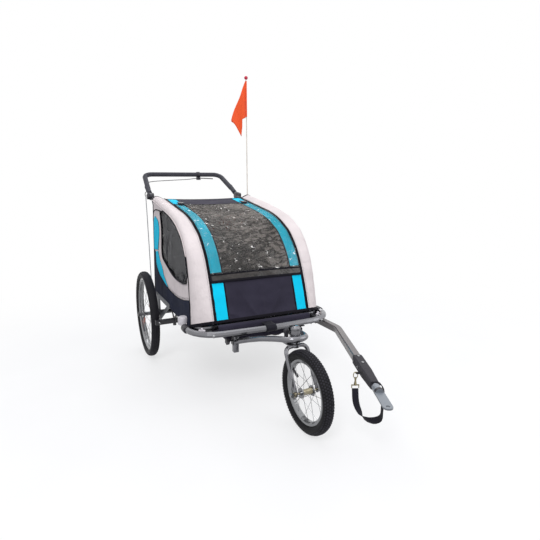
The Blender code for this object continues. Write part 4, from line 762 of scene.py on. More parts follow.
def cover_trim():
    """Zips, bindings, piping and stitches of the hood."""
    turn_t = 0.70
    for side, s in SIDES:
        line = hood_line(s * (BAND_X - 0.0025), 0.0, 1.0, 90, 0.0006)
        tape("hood_zip_tape_" + side, *line, 0.014, 0.0010, BINDING, crown=0.0006)
        line = hood_line(s * (BAND_X + 0.0035), 0.0, 1.0, 90, 0.0024)
        pipe("hood_zip_cord_" + side, line[0], 0.0016, BINDING, slot="webbing")
        line = hood_line(s * STRIPE_X, 0.0, 1.0, 90, 0.0004)
        tape("stripe_binding_" + side, *line, 0.008, 0.0007, BINDING, crown=0.0003)
        for name, t0, t1, look, slot in (("side_seam_cord_", 0.0, turn_t, LIGHT, "light_cloth"),
                                         ("side_piping_", turn_t, 1.0, BINDING, "webbing")):
            edge = [hood_point(t, s * hood_edge(t)[1], 0.0004) + Vector((s * 0.0004, 0, 0))
                    for t in even(t0, t1, 50)]
            pipe(name + side, edge, 0.0024, look, slot=slot)
        line = hood_line(s * (BAND_X + 0.012), 0.0, 1.0, 160, 0.0008)
        stitches("band_stitches_" + side, *line, STITCH_LIGHT)
        line = hood_line(s * (BAND_X - 0.016), 0.0, 0.79, 160, 0.0010)
        stitches("stripe_stitches_" + side, *line, STITCH_DARK)
    for name, t, wide in (("panel_seam", MESH_END, 0.008), ("mesh_top_binding", MESH_START, 0.012)):
        tape(name, *hood_cross(t, BAND_X - 0.002, 40, 0.0008), wide, 0.0008, BINDING)
    for name, t, wide in (("hood_front_hem", 0.994, 0.014), ("hood_rear_hem", 0.006, 0.012)):
        tape(name, *hood_cross(t, hood_edge(t)[1], 120, 0.0010), wide, 0.0012, BINDING, crown=0.0004)


def crumple(x, t):
    """Height of the clear cover's folds: broad swells with sharp creases between them."""
    sharp = 0.22 - abs(waver(x * 15 + 4, t * 26, 8.0))
    small = 0.22 - abs(waver(x * 44, t * 58, 1.0))
    return 0.0022 * waver(x * 11, t * 15, 3.0) + 0.0052 * sharp + 0.0019 * small


def hem_outline(lift):
    """Bottom band of the clear cover: its sides and bottom, rounded at both lower corners."""
    low, inner = FILM_END - 0.005, HEM_X - HEM_CORNER
    path = [(HEM_X, t) for t in even(HEM_START, low - HEM_CORNER / HOOD_LENGTH, 5)]
    path += [(inner + HEM_CORNER * math.cos(a), low - HEM_CORNER * (1 - math.sin(a)) / HOOD_LENGTH)
             for a in even(0, math.pi / 2, 8)[1:]]
    path += [(x, low) for x in even(inner, 0, 16)[1:]]
    path += [(-x, t) for x, t in reversed(path[:-1])]
    return [hood_point(t, x, lift) for x, t in path], [hood_normal(t, x) for x, t in path]


def film():
    """Clear front window over the mesh, its dark bound hem, and two buckles that hold it at the top."""
    rows = []
    for t in even(FILM_START, HEM_START + 0.004, 150):
        edge = hold((t - FILM_START) / 0.02, (HEM_START + 0.006 - t) / 0.02)
        rows.append([hood_point(t, x, 0.0052 + crumple(x, t) * edge * hold(0.2 + (FILM_X - abs(x)) / 0.03))
                     for x in even(-FILM_X, FILM_X, 120)])
    item = grid_piece("rain_film", rows, FILM, 0.0005, flip=True, slot="clear_film")
    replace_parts(item, "rain_window")
    rows = []
    low = FILM_END - 0.004
    for t in even(HEM_START - 0.001, low, 16):
        drop = max(0.0, (t - low) * HOOD_LENGTH + HEM_CORNER)
        wide = HEM_X - HEM_CORNER + math.sqrt(max(0.0, HEM_CORNER ** 2 - drop ** 2))
        rows.append([hood_point(t, x * wide, 0.0058 + 0.4 * crumple(x * 0.3 + 5, t + 2))
                     for x in even(-1, 1, 90)])
    hem = grid_piece("film_hem", rows, HEM_FILM, 0.0008, flip=True, slot="clear_film")
    tape("film_hem_binding", *hem_outline(0.0076), 0.0110, 0.0014, BINDING, crown=0.0006)
    tape("film_hem_seam", *hood_cross(HEM_START, FILM_X, 60, 0.0076), 0.0070, 0.0012, BINDING, crown=0.0004)
    line = hood_cross(FILM_START + 0.004, FILM_X, 60, 0.0056)
    tape("film_top_binding", *line, 0.008, 0.0008, BINDING, crown=0.0003)
    for side, s in SIDES:
        line = hood_line(s * (FILM_X - 0.0005), FILM_START, HEM_START, 70, 0.0058)
        tape("film_side_binding_" + side, *line, 0.0045, 0.0008, BINDING)
        turn = aim((0, 0, 0), hood_normal(FILM_START, s * BUCKLE_X), (0, 1, 0.1))
        box_piece("film_buckle_" + side, hood_point(FILM_START - 0.004, s * BUCKLE_X, 0.010),
                  (0.030, 0.036, 0.008), PLASTIC, slot="black_plastic", turn=turn)
        line = hood_line(s * BUCKLE_X, FILM_START - 0.055, FILM_START + 0.020, 10, 0.0070)
        tape("film_tab_" + side, *line, 0.020, 0.0014, WEBBING)


# Sides
def crossing(loop, centre, way):
    """Distance from centre to a closed loop along way, in the y-z plane."""
    best = 0.0
    for a, b in zip(loop, loop[1:] + loop[:1]):
        edge, rel = b - a, a - centre
        det = way.x * -edge.y + edge.x * way.y
        if abs(det) < 1e-12:
            continue
        r = (rel.x * -edge.y + edge.x * rel.y) / det
        s = (way.x * rel.y - way.y * rel.x) / det
        if r > best and -1e-9 <= s <= 1 + 1e-9:
            best = r
    return best


def window_loop():
    upper = [seam_yz(t, 0.0075) for t in even(0.780, 0.250, 26)]
    return upper + [Vector((p.x, p.y)) for p in spline_through(WINDOW_LOW, 5)[1:]]


def panel_loop():
    upper = [seam_yz(t, 0.0004) for t in even(0.0, 0.935, 80)]
    upper = [p for p in upper if p.x < REAR_Y and p.y > SEAM_LOW[0][1] + 0.002]
    low = [Vector((p.x, p.y)) for p in spline_through(SEAM_LOW, 6) if p.x > upper[-1].x]
    return [Vector((REAR_Y, upper[0].y))] + upper + low + [Vector((REAR_Y, SEAM_LOW[-1][1]))]


WINDOW = window_loop()
PANEL = panel_loop()


def side_spot(s, y, z, out=0.0):
    return at(s * (side_x(z) + out), y, z)


def side_line(s, points, out):
    return [side_spot(s, p.x, p.y, out) for p in points]


def ring_rows(s, inner, outer, parts, count=220, out=0.0):
    """Rows round the middle of the window, from the inner loop or the middle out to the outer loop."""
    rows = []
    for a in even(0, 2 * math.pi, count):
        way = Vector((math.cos(a), math.sin(a)))
        near = crossing(inner, WINDOW_MIDDLE, way) if inner else 0.0
        far = crossing(outer, WINDOW_MIDDLE, way)
        rows.append([side_spot(s, *(WINDOW_MIDDLE + way * (near + (far - near) * p)), out) for p in parts])
    return rows


def side_push(s, loops, amount):
    """Slack of a side's cloth, held at its loops."""
    def push(p, normal):
        spot = Vector((p.y - Y0, p.z))
        near = min((spot - q).length for loop in loops for q in loop[::3])
        slack = waver(p.y * 7, p.z * 5, 1.5 * s) + 0.5 * waver(p.y * 22 + p.z * 8, p.z * 6, 5.0)
        return p + Vector((s * hold(near / 0.03) * amount * slack, 0, 0))
    return push


def blue_lobe(name, side, s, pairs):
    """Blue cloth at the rear of a side, with its edges piped."""
    outer, inner = (spline_through([pair[k] for pair in pairs], 8) for k in (0, 1))
    rows = [[side_spot(s, *a.lerp(b, k / 8), 0.0014) for k in range(9)] for a, b in zip(outer, inner)]
    loop = [Vector((q.x, q.y)) for q in outer + inner]
    grid_piece("blue_lobe_%s_%s" % (name, side), rows, BLUE, 0.0010, flip=s > 0, slot="blue_cloth",
               push=side_push(s, [loop], 0.003))
    for k, line in enumerate((outer, inner)):
        pipe("lobe_edge_%s_%s_%d" % (name, side, k), side_line(s, line, 0.0018), 0.0009, BINDING,
             slot="webbing", resolution=1)


def sides():
    """Side cloth with its window, piping, stitches and blue lobes."""
    for side, s in SIDES:
        rows = ring_rows(s, WINDOW, PANEL, even(0, 1, 12))
        item = grid_piece("side_cloth_" + side, rows, LIGHT, flip=s < 0, slot="light_cloth",
                          push=side_push(s, [WINDOW, PANEL], 0.0035))
        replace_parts(item, "side_panel_" + side)
        rows = ring_rows(s, None, WINDOW, even(0.01, 1.0, 16), 140, -0.0030)
        pane = grid_piece("side_film_" + side, rows, SIDE_FILM, 0.0006, flip=s < 0, slot="clear_film",
                          push=side_push(s, [WINDOW], 0.006))
        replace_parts(pane, "side_window_" + side)
        rows = ring_rows(s, None, WINDOW, even(0.01, 1.0, 10), 140, -0.0060)
        screen = grid_piece("side_mesh_" + side, rows, SIDE_MESH, 0.0006, flip=s < 0, slot="mesh_cloth")
        line = side_line(s, WINDOW, 0.0012)
        pipe("window_piping_" + side, line, 0.0030, BINDING, slot="webbing", cyclic=True)
        line = side_line(s, spline_through(CORNER_PIPING, 6), 0.0012)
        pipe("corner_piping_" + side, line, 0.0030, BINDING, slot="webbing")
        round_window = [WINDOW_MIDDLE + (p - WINDOW_MIDDLE) * 1.035 for p in WINDOW + WINDOW[:1]]
        stitches("window_stitches_" + side, side_line(s, round_window, 0.0010), (s, 0, 0), STITCH_LIGHT)
        blue_lobe("upper", side, s, LOBE_UPPER)
        blue_lobe("lower", side, s, LOBE_LOWER)


def hood_front_y(z):
    """y of the hood's side seam at a height."""
    low, high = 0.5, 1.0
    for _ in range(30):
        t = (low + high) / 2
        if seam_yz(t).y > z:
            low = t
        else:
            high = t
    return seam_yz(low).x


def lower_sides():
    """Black strip under each side's cloth, with its seam, stitches and bindings."""
    top = spline_through(SEAM_LOW, 8)
    front_z = SEAM_LOW[1][1]
    front_top = hood_front_y(front_z)

    def top_z(y):
        for a, b in zip(top, top[1:]):
            if a.x <= y <= b.x:
                return a.y + (b.y - a.y) * (y - a.x) / (b.x - a.x)
        return top[0].y if y < top[0].x else top[-1].y

    for side, s in SIDES:
        rows = []
        for u in graded((0, 1, 64), (0.88, 0.97, 30)):
            row = []
            for z in even(LOWER_SIDE_Z, top_z(front_top + (REAR_Y - front_top) * u), 16):
                y = hood_front_y(min(z, front_z))
                row.append(side_spot(s, y + (REAR_Y - y) * u, z, 0.0002))
            rows.append(row)

        def push(p, normal, s=s):
            edge = hold((p.z - LOWER_SIDE_Z) / 0.02, (REAR_Y + Y0 - p.y) / 0.02)
            slack = waver(p.y * 9, p.z * 14, 8.0) + 0.4 * waver(p.y * 30, p.z * 10, 2.0)
            return p + Vector((s * edge * 0.0028 * slack, 0, 0))

        item = grid_piece("lower_side_" + side, rows, SIDE_BLACK, flip=s < 0, slot="black_cloth", push=push)
        out = (s, 0, 0)
        line = [p for p in top if p.x > front_top]
        tape("side_seam_tape_" + side, side_line(s, line, 0.0010), out, 0.006, 0.0010, BINDING, crown=0.0004)
        for k, drop in enumerate((0.009, 0.014)):
            points = [side_spot(s, p.x, p.y + drop, 0.0016) for p in line if p.x < -0.20]
            stitches("side_seam_stitches_%s_%d" % (side, k), points, out, STITCH_DARK)
        points = [side_spot(s, y, 0.3400, 0.0012) for y in even(-0.760, REAR_Y, 20)]
        tape("side_hem_" + side, points, out, 0.007, 0.0012, BINDING, crown=0.0006)
        points = [side_spot(s, REAR_Y - 0.004, z, 0.0014) for z in even(0.342, 0.872, 30)]
        tape("rear_edge_binding_" + side, points, out, 0.012, 0.0012, BINDING, crown=0.0006)


# Floor and rear wall
def floor_line(inset):
    """Outline of the floor's front half, from the right side round the front to the left."""
    x, y, r = SIDE_X - inset, FLOOR_FRONT_Y + inset, FLOOR_CORNER - inset
    half = [Vector((q, y)) for q in even(0, x - r, 12)[:-1]]
    half += [Vector((x - r + r * math.sin(a), y + r - r * math.cos(a))) for a in even(0, math.pi / 2, 12)]
    half += [Vector((x, q)) for q in even(y + r, REAR_Y - FLOOR_EDGE, 16)[1:]]
    return [Vector((-p.x, p.y)) for p in reversed(half[1:])] + half


def floor_reach(y):
    """Half width of the floor cloth at y."""
    into = FLOOR_FRONT_Y + FLOOR_CORNER - y
    if into <= 0:
        return SIDE_X - 0.004
    return SIDE_X - FLOOR_CORNER + math.sqrt(max(0.0, (FLOOR_CORNER - FLOOR_EDGE) ** 2 - into * into))


def floor_height(x, y):
    """Height of the floor cloth, which hangs down into the footwell."""
    inside = min(WELL_X - 0.002 - abs(x), y - WELL_FRONT_Y, WELL_REAR_Y - y)
    return FLOOR_Z - (FLOOR_Z - WELL_Z - 0.0012) * smooth_step(inside / 0.014)


def floor():
    """Low wall of the floor, the floor with its footwell, and the lip in front."""
    rows = []
    for p, q in zip(floor_line(0.0008), floor_line(0.004)):
        under = abs(0.0008 * waver(p.x * 20, p.y * 20, 0))
        rows.append([at(p.x, p.y, z) for z in (0.3468, 0.3430, 0.3395, 0.3372)]
                    + [at(q.x, q.y, 0.3366 - under)])
    grid_piece("floor_wall", rows, BLACK, HEAVY_CLOTH, slot="black_cloth", flip=True)
    well_x, slope = WELL_X + 0.002, 0.020
    cross = graded((-well_x, slope - WELL_X, 8), (slope - WELL_X, WELL_X - slope, 18),
                   (WELL_X - slope, well_x, 8))
    rows = []
    for y in graded((FLOOR_FRONT_Y + FLOOR_EDGE, WELL_FRONT_Y, 4), (WELL_FRONT_Y, WELL_FRONT_Y + slope, 8),
                    (WELL_FRONT_Y + slope, WELL_REAR_Y - slope, 14), (WELL_REAR_Y - slope, WELL_REAR_Y, 8),
                    (WELL_REAR_Y, REAR_Y - FLOOR_EDGE, 16)):
        side = even(well_x, floor_reach(y), 4)[1:]
        rows.append([at(x, y, floor_height(x, y) + 0.0006 * waver(x * 14, y * 14, 3))
                     for x in [-q for q in reversed(side)] + cross + side])
    item = grid_piece("floor_cloth", rows, BLACK, HEAVY_CLOTH, slot="black_cloth")
    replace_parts(item, "lower_body")
    rows = []
    for x in even(-0.2355, 0.2355, 48):
        soft = 0.0012 * waver(x * 16, 0, 6)
        rows.append([at(x, FLOOR_FRONT_Y + back, z) for back, z in (
            (0.0200, 0.3735), (0.0100, 0.3742 + soft * 0.3), (0.0030, 0.3728), (0.0004 - soft, 0.3660),
            (0.0002 - soft, 0.3560), (0.0002, 0.3480), (0.0004, 0.3440))])
    grid_piece("front_lip", rows, BLACK, HEAVY_CLOTH, slot="black_cloth")
    points = [at(x, FLOOR_FRONT_Y - 0.0006, 0.3440) for x in even(-0.225, 0.225, 40)]
    stitches("lip_stitches", points, (0, -1, 0), STITCH_LIGHT)


def rear_wall():
    xs = even(-1, 1, 56)
    rows = [[at(x * (side_x(z) - 0.0012), REAR_Y + 0.0006, z) for x in xs] for z in even(0.3400, 0.868, 44)]
    top_t = (HOOD_PROFILE[0][0] - REAR_Y) / HOOD_LENGTH
    reach = hood_edge(top_t)[1] - 0.004
    top = [hood_point(top_t, x * reach, -0.0035) for x in xs]
    rows.append([at(spot.x, REAR_Y + 0.0006, max(spot.z, 0.869)) for spot in top])

    def push(p, normal):
        edge = hold((side_x(p.z) - abs(p.x)) / 0.03, (p.z - 0.34) / 0.03, (0.90 - p.z) / 0.03)
        slack = waver(p.x * 6, p.z * 5, 12.0) + 0.4 * waver(p.x * 18, p.z * 9, 2.0)
        return p + Vector((0, edge * (0.0030 + 0.0035 * slack), 0))

    rear = grid_piece("rear_cloth", rows, SIDE_BLACK, HEAVY_CLOTH, slot="black_cloth", flip=True, push=push)


def rear_pocket():
    """Storage pocket on the rear wall, with a zip along its top, and the wall's bindings."""
    rows = []
    for z in even(POCKET_LOW, POCKET_HIGH, 22):
        swell = 0.012 * math.sin(math.pi * min(1.0, (z - POCKET_LOW) / (POCKET_HIGH - POCKET_LOW))) ** 0.7
        rows.append([at(x, REAR_Y + 0.0060 + swell * (1 - (abs(x) / POCKET_X) ** 4)
                        + 0.0015 * waver(x * 12, z * 12, 4), z) for x in even(-POCKET_X, POCKET_X, 40)])
    grid_piece("rear_pocket", rows, BLACK, HEAVY_CLOTH, slot="black_cloth", flip=True)
    loop = [(-POCKET_X, z) for z in even(POCKET_HIGH, POCKET_LOW, 12)]
    loop += [(x, POCKET_LOW) for x in even(-POCKET_X, POCKET_X, 24)[1:]]
    loop += [(POCKET_X, z) for z in even(POCKET_LOW, POCKET_HIGH, 12)[1:]]
    back = (0, 1, 0)
    points = [at(x, REAR_Y + 0.0066, z) for x, z in loop]
    tape("rear_pocket_binding", points, back, 0.012, 0.0012, BINDING, crown=0.0005)
    points = [at(x, REAR_Y + 0.0072, POCKET_HIGH) for x in even(-POCKET_X, POCKET_X, 30)]
    tape("rear_pocket_zip", points, back, 0.020, 0.0014, BINDING, crown=0.0010)
    zip_x = 0.225
    box_piece("rear_zip_slider", at(zip_x, REAR_Y + 0.0120, POCKET_HIGH), (0.012, 0.005, 0.009), DARK_STEEL,
              slot="black_steel", bevel=0.0012)
    box_piece("rear_zip_pull", at(zip_x, REAR_Y + 0.0130, POCKET_HIGH - 0.018), (0.006, 0.0024, 0.026),
              WEBBING, slot="webbing", bevel=0.0008)
    for name, z in (("low", 0.3430), ("high", 0.8600)):
        points = [at(x, REAR_Y + 0.0012, z) for x in even(0.004 - side_x(z), side_x(z) - 0.004, 40)]
        tape("rear_hem_" + name, points, back, 0.010, 0.0010, BINDING, crown=0.0005)
    for side, s in SIDES:
        points = [at(s * (side_x(z) - 0.004), REAR_Y + 0.0014, z) for z in even(0.342, 0.872, 40)]
        tape("rear_binding_" + side, points, back, 0.012, 0.0012, BINDING, crown=0.0008)


# Seat
def evaluated(item):
    """The item with its modifiers made real."""
    graph = bpy.context.evaluated_depsgraph_get()
    mesh = bpy.data.meshes.new_from_object(item.evaluated_get(graph))
    item.modifiers.clear()
    item.data = mesh


def puffed(item, cap, frames=16):
    """Swell a closed pad with a short pressure run, each point's way held to cap."""
    remesh = item.modifiers.new("even", "REMESH")
    remesh.mode = "VOXEL"
    remesh.voxel_size = 0.006
    evaluated(item)
    start = [v.co.copy() for v in item.data.vertices]
    soft = item.modifiers.new("puff", "CLOTH")
    for key, value in (("quality", 4), ("mass", 0.3), ("tension_stiffness", 12),
                       ("compression_stiffness", 12), ("bending_stiffness", 0.6), ("use_pressure", True),
                       ("uniform_pressure_force", 4.0)):
        setattr(soft.settings, key, value)
    soft.settings.effector_weights.gravity = 0.0
    soft.point_cache.frame_start = 1
    soft.point_cache.frame_end = frames
    for f in range(1, frames + 1):
        bpy.context.scene.frame_set(f)
    evaluated(item)
    bpy.context.scene.frame_set(1)
    moves = [v.co - a for v, a in zip(item.data.vertices, start)]
    drift = sum(moves, Vector()) / len(moves)
    for vertex, a, move in zip(item.data.vertices, start, moves):
        move = move - drift
        vertex.co = a + move * min(1.0, cap / max(1e-9, move.length))
    item.data.shade_smooth()


def pad(name, size, place, replaced, cap, tufts):
    """Crowned cushion in a box: sides drawn in between the corners, puffed, and tufted along lines.

    A tuft is given by the axis that it crosses and its place on it.
    """
    mesh = bpy.data.meshes.new(name)
    work = bmesh.new()
    bmesh.ops.create_cube(work, size=1.0)
    bmesh.ops.subdivide_edges(work, edges=list(work.edges), cuts=11, use_grid_fill=True)
    sx, sy, sz = size
    draw = 0.006
    for v in work.verts:
        x, y, z = v.co * 2
        crown = (1 - abs(x) ** 3.5) * (1 - abs(y) ** 3.5)
        height = sz / 2 * (0.62 + 0.38 * crown ** 0.45 if z > 0 else 0.92)
        edge = max(abs(x), abs(y)) ** 12
        v.co = (x * (sx / 2 - draw * (1 - y * y) * abs(x)), y * (sy / 2 - draw * (1 - x * x) * abs(y)),
                z * height * (1 - 0.35 * edge))
    work.to_mesh(mesh)
    work.free()
    item = linked(name, mesh)
    puffed(item, cap)
    for v in item.data.vertices:
        for axis, line in tufts:
            if v.co.z > 0:
                v.co.z -= 0.0055 * math.exp(-(abs(v.co[axis] - line) / 0.008) ** 2)
    item.data.transform(place)
    keep(item, PAD, "chassis", "black_cloth")
    smooth = item.modifiers.new("round", "SUBSURF")
    smooth.levels = smooth.render_levels = 1
    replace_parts(item, replaced)


def seat():
    """Cushion and back, quilted along a few lines."""
    pad("seat_cushion", (0.532, 0.355, 0.043), Matrix.Translation(at(0, -0.2035, 0.3875)), "seat_base", 0.006,
        ((0, 0.0), (0, 0.245), (0, -0.245)))
    rise = SEAT_HIGH - SEAT_LOW
    middle = (SEAT_LOW + SEAT_HIGH) / 2
    turn = Matrix.Rotation(math.pi / 2 - math.atan2(rise.x, rise.y), 4, "X")
    pad("seat_back_cushion", (0.528, 0.432, 0.024),
        Matrix.Translation(at(0, middle.x, middle.y + SEAT_LIFT)) @ turn, "seat_back", 0.003,
        ((0, 0.0), (1, -0.06), (1, 0.09)))


def harness():
    """Five point harness for each child."""
    along = (SEAT_HIGH - SEAT_LOW).normalized()
    across = Vector((-along.y, along.x))
    face = Vector((0, -along.y, along.x))

    def back_spot(x, height, off):
        """Point over the front of the seat's back."""
        p = SEAT_LOW + along * (height / along.y) + across * (0.014 + off)
        return at(x, p.x, p.y + SEAT_LIFT)

    for side, cx in (("left", 0.125), ("right", -0.125)):
        buckle = back_spot(cx, 0.130, 0.0080) - Vector((0, 0.006, 0))

        def strap(name, points, normals):
            tape(name, points, normals, 0.023, 0.0018, WEBBING)

        anchor = [back_spot(cx + d, 0.360, 0.0020) for d in even(-0.105, 0.105, 12)]
        item = tape("harness_anchor_" + side, anchor, face, 0.024, 0.0018, WEBBING)
        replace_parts(item, "harness_" + side)
        for name, s in (("a", 1), ("b", -1)):
            mark = "_%s_%s" % (side, name)
            line = spline_through([back_spot(cx + s * x, height, off) for x, height, off in (
                (0.060, 0.362, 0.0030), (0.052, 0.270, 0.0040), (0.032, 0.185, 0.0050))]
                + [buckle + Vector((s * 0.012, 0.001, 0.012))], 8)
            strap("shoulder_strap" + mark, line, face)
            padded = [p + face * 0.0022 for p in line[5:18]]
            tape("shoulder_pad" + mark, padded, face, 0.036, 0.0050, PAD, slot="black_cloth", crown=0.0015)
            line = [buckle + Vector((s * 0.018, 0, -0.004)), back_spot(cx + s * 0.060, 0.098, 0.0050),
                    back_spot(cx + s * 0.096, 0.046, 0.0030)]
            strap("lap_strap" + mark, spline_through(line, 8), face)
            box_piece("strap_slider" + mark, back_spot(cx + s * 0.040, 0.215, 0.0105), (0.030, 0.006, 0.014),
                      PLASTIC, slot="black_plastic", bevel=0.0015)
        line = spline_through([buckle + Vector((0, -0.002, -0.016)), buckle + Vector((0, -0.045, -0.094)),
                               at(cx, -0.105, 0.4155), at(cx, -0.158, 0.4145)], 8)
        ups = [Vector((0, -0.9, 0.4)).lerp(Vector((0, -0.1, 1)), share)
               for share in even(0, 1, len(line) - 1)]
        strap("crotch_strap_" + side, line, ups)
        box_piece("harness_buckle_" + side, buckle + Vector((0, -0.004, 0)), (0.040, 0.013, 0.036), PLASTIC,
                  slot="black_plastic", bevel=0.004)
        red = plastic("release_red_" + side, srgb(178, 40, 36), 0.4)
        box_piece("harness_button_" + side, buckle + Vector((0, -0.0115, 0.001)), (0.016, 0.004, 0.014), red,
                  slot="black_plastic", bevel=0.0014)


# Frame details
def bumper_loop():
    """Webbing round the bumper, from the front lip and back under the floor."""
    front, height, radius = -0.828, 0.347, 0.0158
    line = [(FLOOR_FRONT_Y - 0.0012, 0.3660), (FLOOR_FRONT_Y - 0.004, 0.3640)]
    line += [(front + radius * math.cos(a), height + radius * math.sin(a))
             for a in even(math.radians(70), math.radians(290), 14)]
    line += [(FLOOR_FRONT_Y - 0.006, 0.3330), (FLOOR_FRONT_Y + 0.004, 0.3345)]
    spots = spline_through([at(0.0, y, z) for y, z in line], 3)
    normals = []
    for k, p in enumerate(spots):
        tangent = tangent_at(spots, k)
        normal = Vector((0, tangent.z, -tangent.y))
        normals.append(normal if normal.dot(p - at(0, front, height)) > 0 else -normal)
    tape("bumper_loop", spots, normals, 0.050, 0.0020, WEBBING)


def hem_hook(side, s):
    """The hem's elastic cord at the front corner, with the hook that holds the cover down."""
    ends = [at(s * x, y, z) for x, y, z in (
        (0.342, -0.640, 0.362), (0.344, -0.656, 0.356), (0.342, -0.690, 0.3545), (0.338, -0.712, 0.354),
        (0.329, -0.735, 0.353), (0.314, -0.750, 0.353))]
    pipe("hem_cord_" + side, spline_through(ends, 6), 0.0015, LIGHT, slot="light_cloth")
    turn = Matrix.Rotation(s * 0.65, 4, "Z")
    for name, z, size in (("hem_hook_", 0.3535, (0.031, 0.009, 0.010)),
                          ("hem_hook_tongue_", 0.3600, (0.010, 0.008, 0.010))):
        box_piece(name + side, at(s * 0.3020, -0.7475, z), size, GREY_PLASTIC, bevel=0.0024, turn=turn)


def frame_details():
    """Webbing, bosses, boots, hooks and bolts of the frame."""
    bumper_loop()
    boss = [(0, 0.0200), (0.002, 0.0235), (0.006, 0.0246), (0.033, 0.0246), (0.037, 0.0235), (0.039, 0.0200),
            (0.0392, 0.0002)]
    boot = [(-0.034, 0.0146), (-0.031, 0.0176), (0.002, 0.0184), (0.0105, 0.0172), (0.0150, 0.0135),
            (0.0165, 0.0060), (0.0168, 0.0002)]
    hoop_boot = [(0, 0.0135), (0.010, 0.0150), (0.030, 0.0135), (0.034, 0.0120)]
    for side, s in reversed(SIDES):
        turned_piece("corner_boss_" + side, boss, at(s * 0.3455, -0.594, 0.3450), (0, 0, 1), GREY_PLASTIC,
                     steps=32)
        turned_piece("bumper_boot_" + side, boot, at(s * 0.3535, -0.6560, 0.3465), (0, 1, 0), PLASTIC,
                     slot="black_plastic", steps=28)
        hem_hook(side, s)
        ahead, outward = (0, -1, 0), (s, 0, 0)
        for name, spot, axis, radius in (
                ("bumper_bolt_", (s * 0.274, -0.8295, 0.347), ahead, 0.0065),
                ("receiver_bolt_", (s * POST_X, POST_FRONT, 0.300), ahead, 0.0065),
                ("dropout_bolt_", (s * 0.3340, -0.235, 0.3525), outward, 0.0055),
                ("dropout_bolt_rear_", (s * 0.3340, 0.030, 0.3525), outward, 0.0055),
                ("guard_bolt_", (s * 0.392, -0.2885, 0.270), ahead, 0.0060)):
            bolt(name + side, at(*spot), axis, radius)
        box_piece("guard_cap_" + side, at(s * 0.4105, -0.275, 0.270), (0.004, 0.0262, 0.0262), PLASTIC,
                  slot="black_plastic", bevel=0.0018)
        spot = at(s * (side_x(0.37) - 0.0142), 0.088, 0.3655)
        turned_piece("hoop_boot_" + side, hoop_boot, spot, (0, 0, 1), PLASTIC, slot="black_plastic")


def handle_trim():
    """Foam that runs on down both legs of the handle."""
    low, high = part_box("handlebar_grip")
    reach = (high[0] - low[0]) / 2 - 0.0145

    def on_leg(s, share, out=0.0):
        y = 0.290 + (0.585 - 0.290) * share
        return at(s * (reach + out), y, 0.914 + (1.054 - 0.914) * share)

    for side, s in SIDES:
        low_end, high_end = on_leg(s, 0.13, 0.0004), on_leg(s, 0.42)
        points = [low_end.lerp(high_end, k / 12) for k in range(13)]
        pipe("leg_foam_" + side, points, 0.0152, FOAM, "push_handle", "foam", resolution=5)


# Wheels
def radial(angle, reach=1.0):
    """Way out from a wheel's axis."""
    return Vector((0, reach * math.cos(angle), reach * math.sin(angle)))


def wheels_trim():
    """Reflectors, valves, hub caps and sidewall lines of the rear wheels."""
    valve = [(0, 0.0035), (0.012, 0.0032), (0.014, 0.0042), (0.026, 0.0042), (0.028, 0.003)]
    cap = [(0, 0.0125), (0.003, 0.0122), (0.005, 0.0085), (0.0054, 0.0002)]
    for side, s in SIDES:
        body = "rear_wheel_" + side
        hub = at(s * REAR_WHEEL_X, 0, REAR_RADIUS)
        for k, a in enumerate((2.55, 2.55 + math.pi)):
            box_piece("wheel_reflector_%s_%d" % (side, k), hub + radial(a, 0.145), (0.010, 0.052, 0.026),
                      AMBER, body, bevel=0.0024, turn=Matrix.Rotation(a, 4, "X"))
        out = radial(math.radians(200))
        turned_piece("valve_" + side, valve, hub + out * 0.1935, -out, DARK_STEEL, body, "black_plastic", 12)
        turned_piece("hub_cap_" + side, cap, hub + Vector((s * 0.0462, 0, 0)), (s, 0, 0), DARK_STEEL, body,
                     "black_plastic", 20)
        for name, x in (("in", -0.0215), ("out", 0.0215)):
            ring = [hub + Vector((x, 0, 0)) + radial(q, 0.2235) for q in ring_angles(72)]
            pipe("sidewall_line_%s_%s" % (side, name), ring, 0.0007, TYRE_LINE, body, "rubber", True, 1)


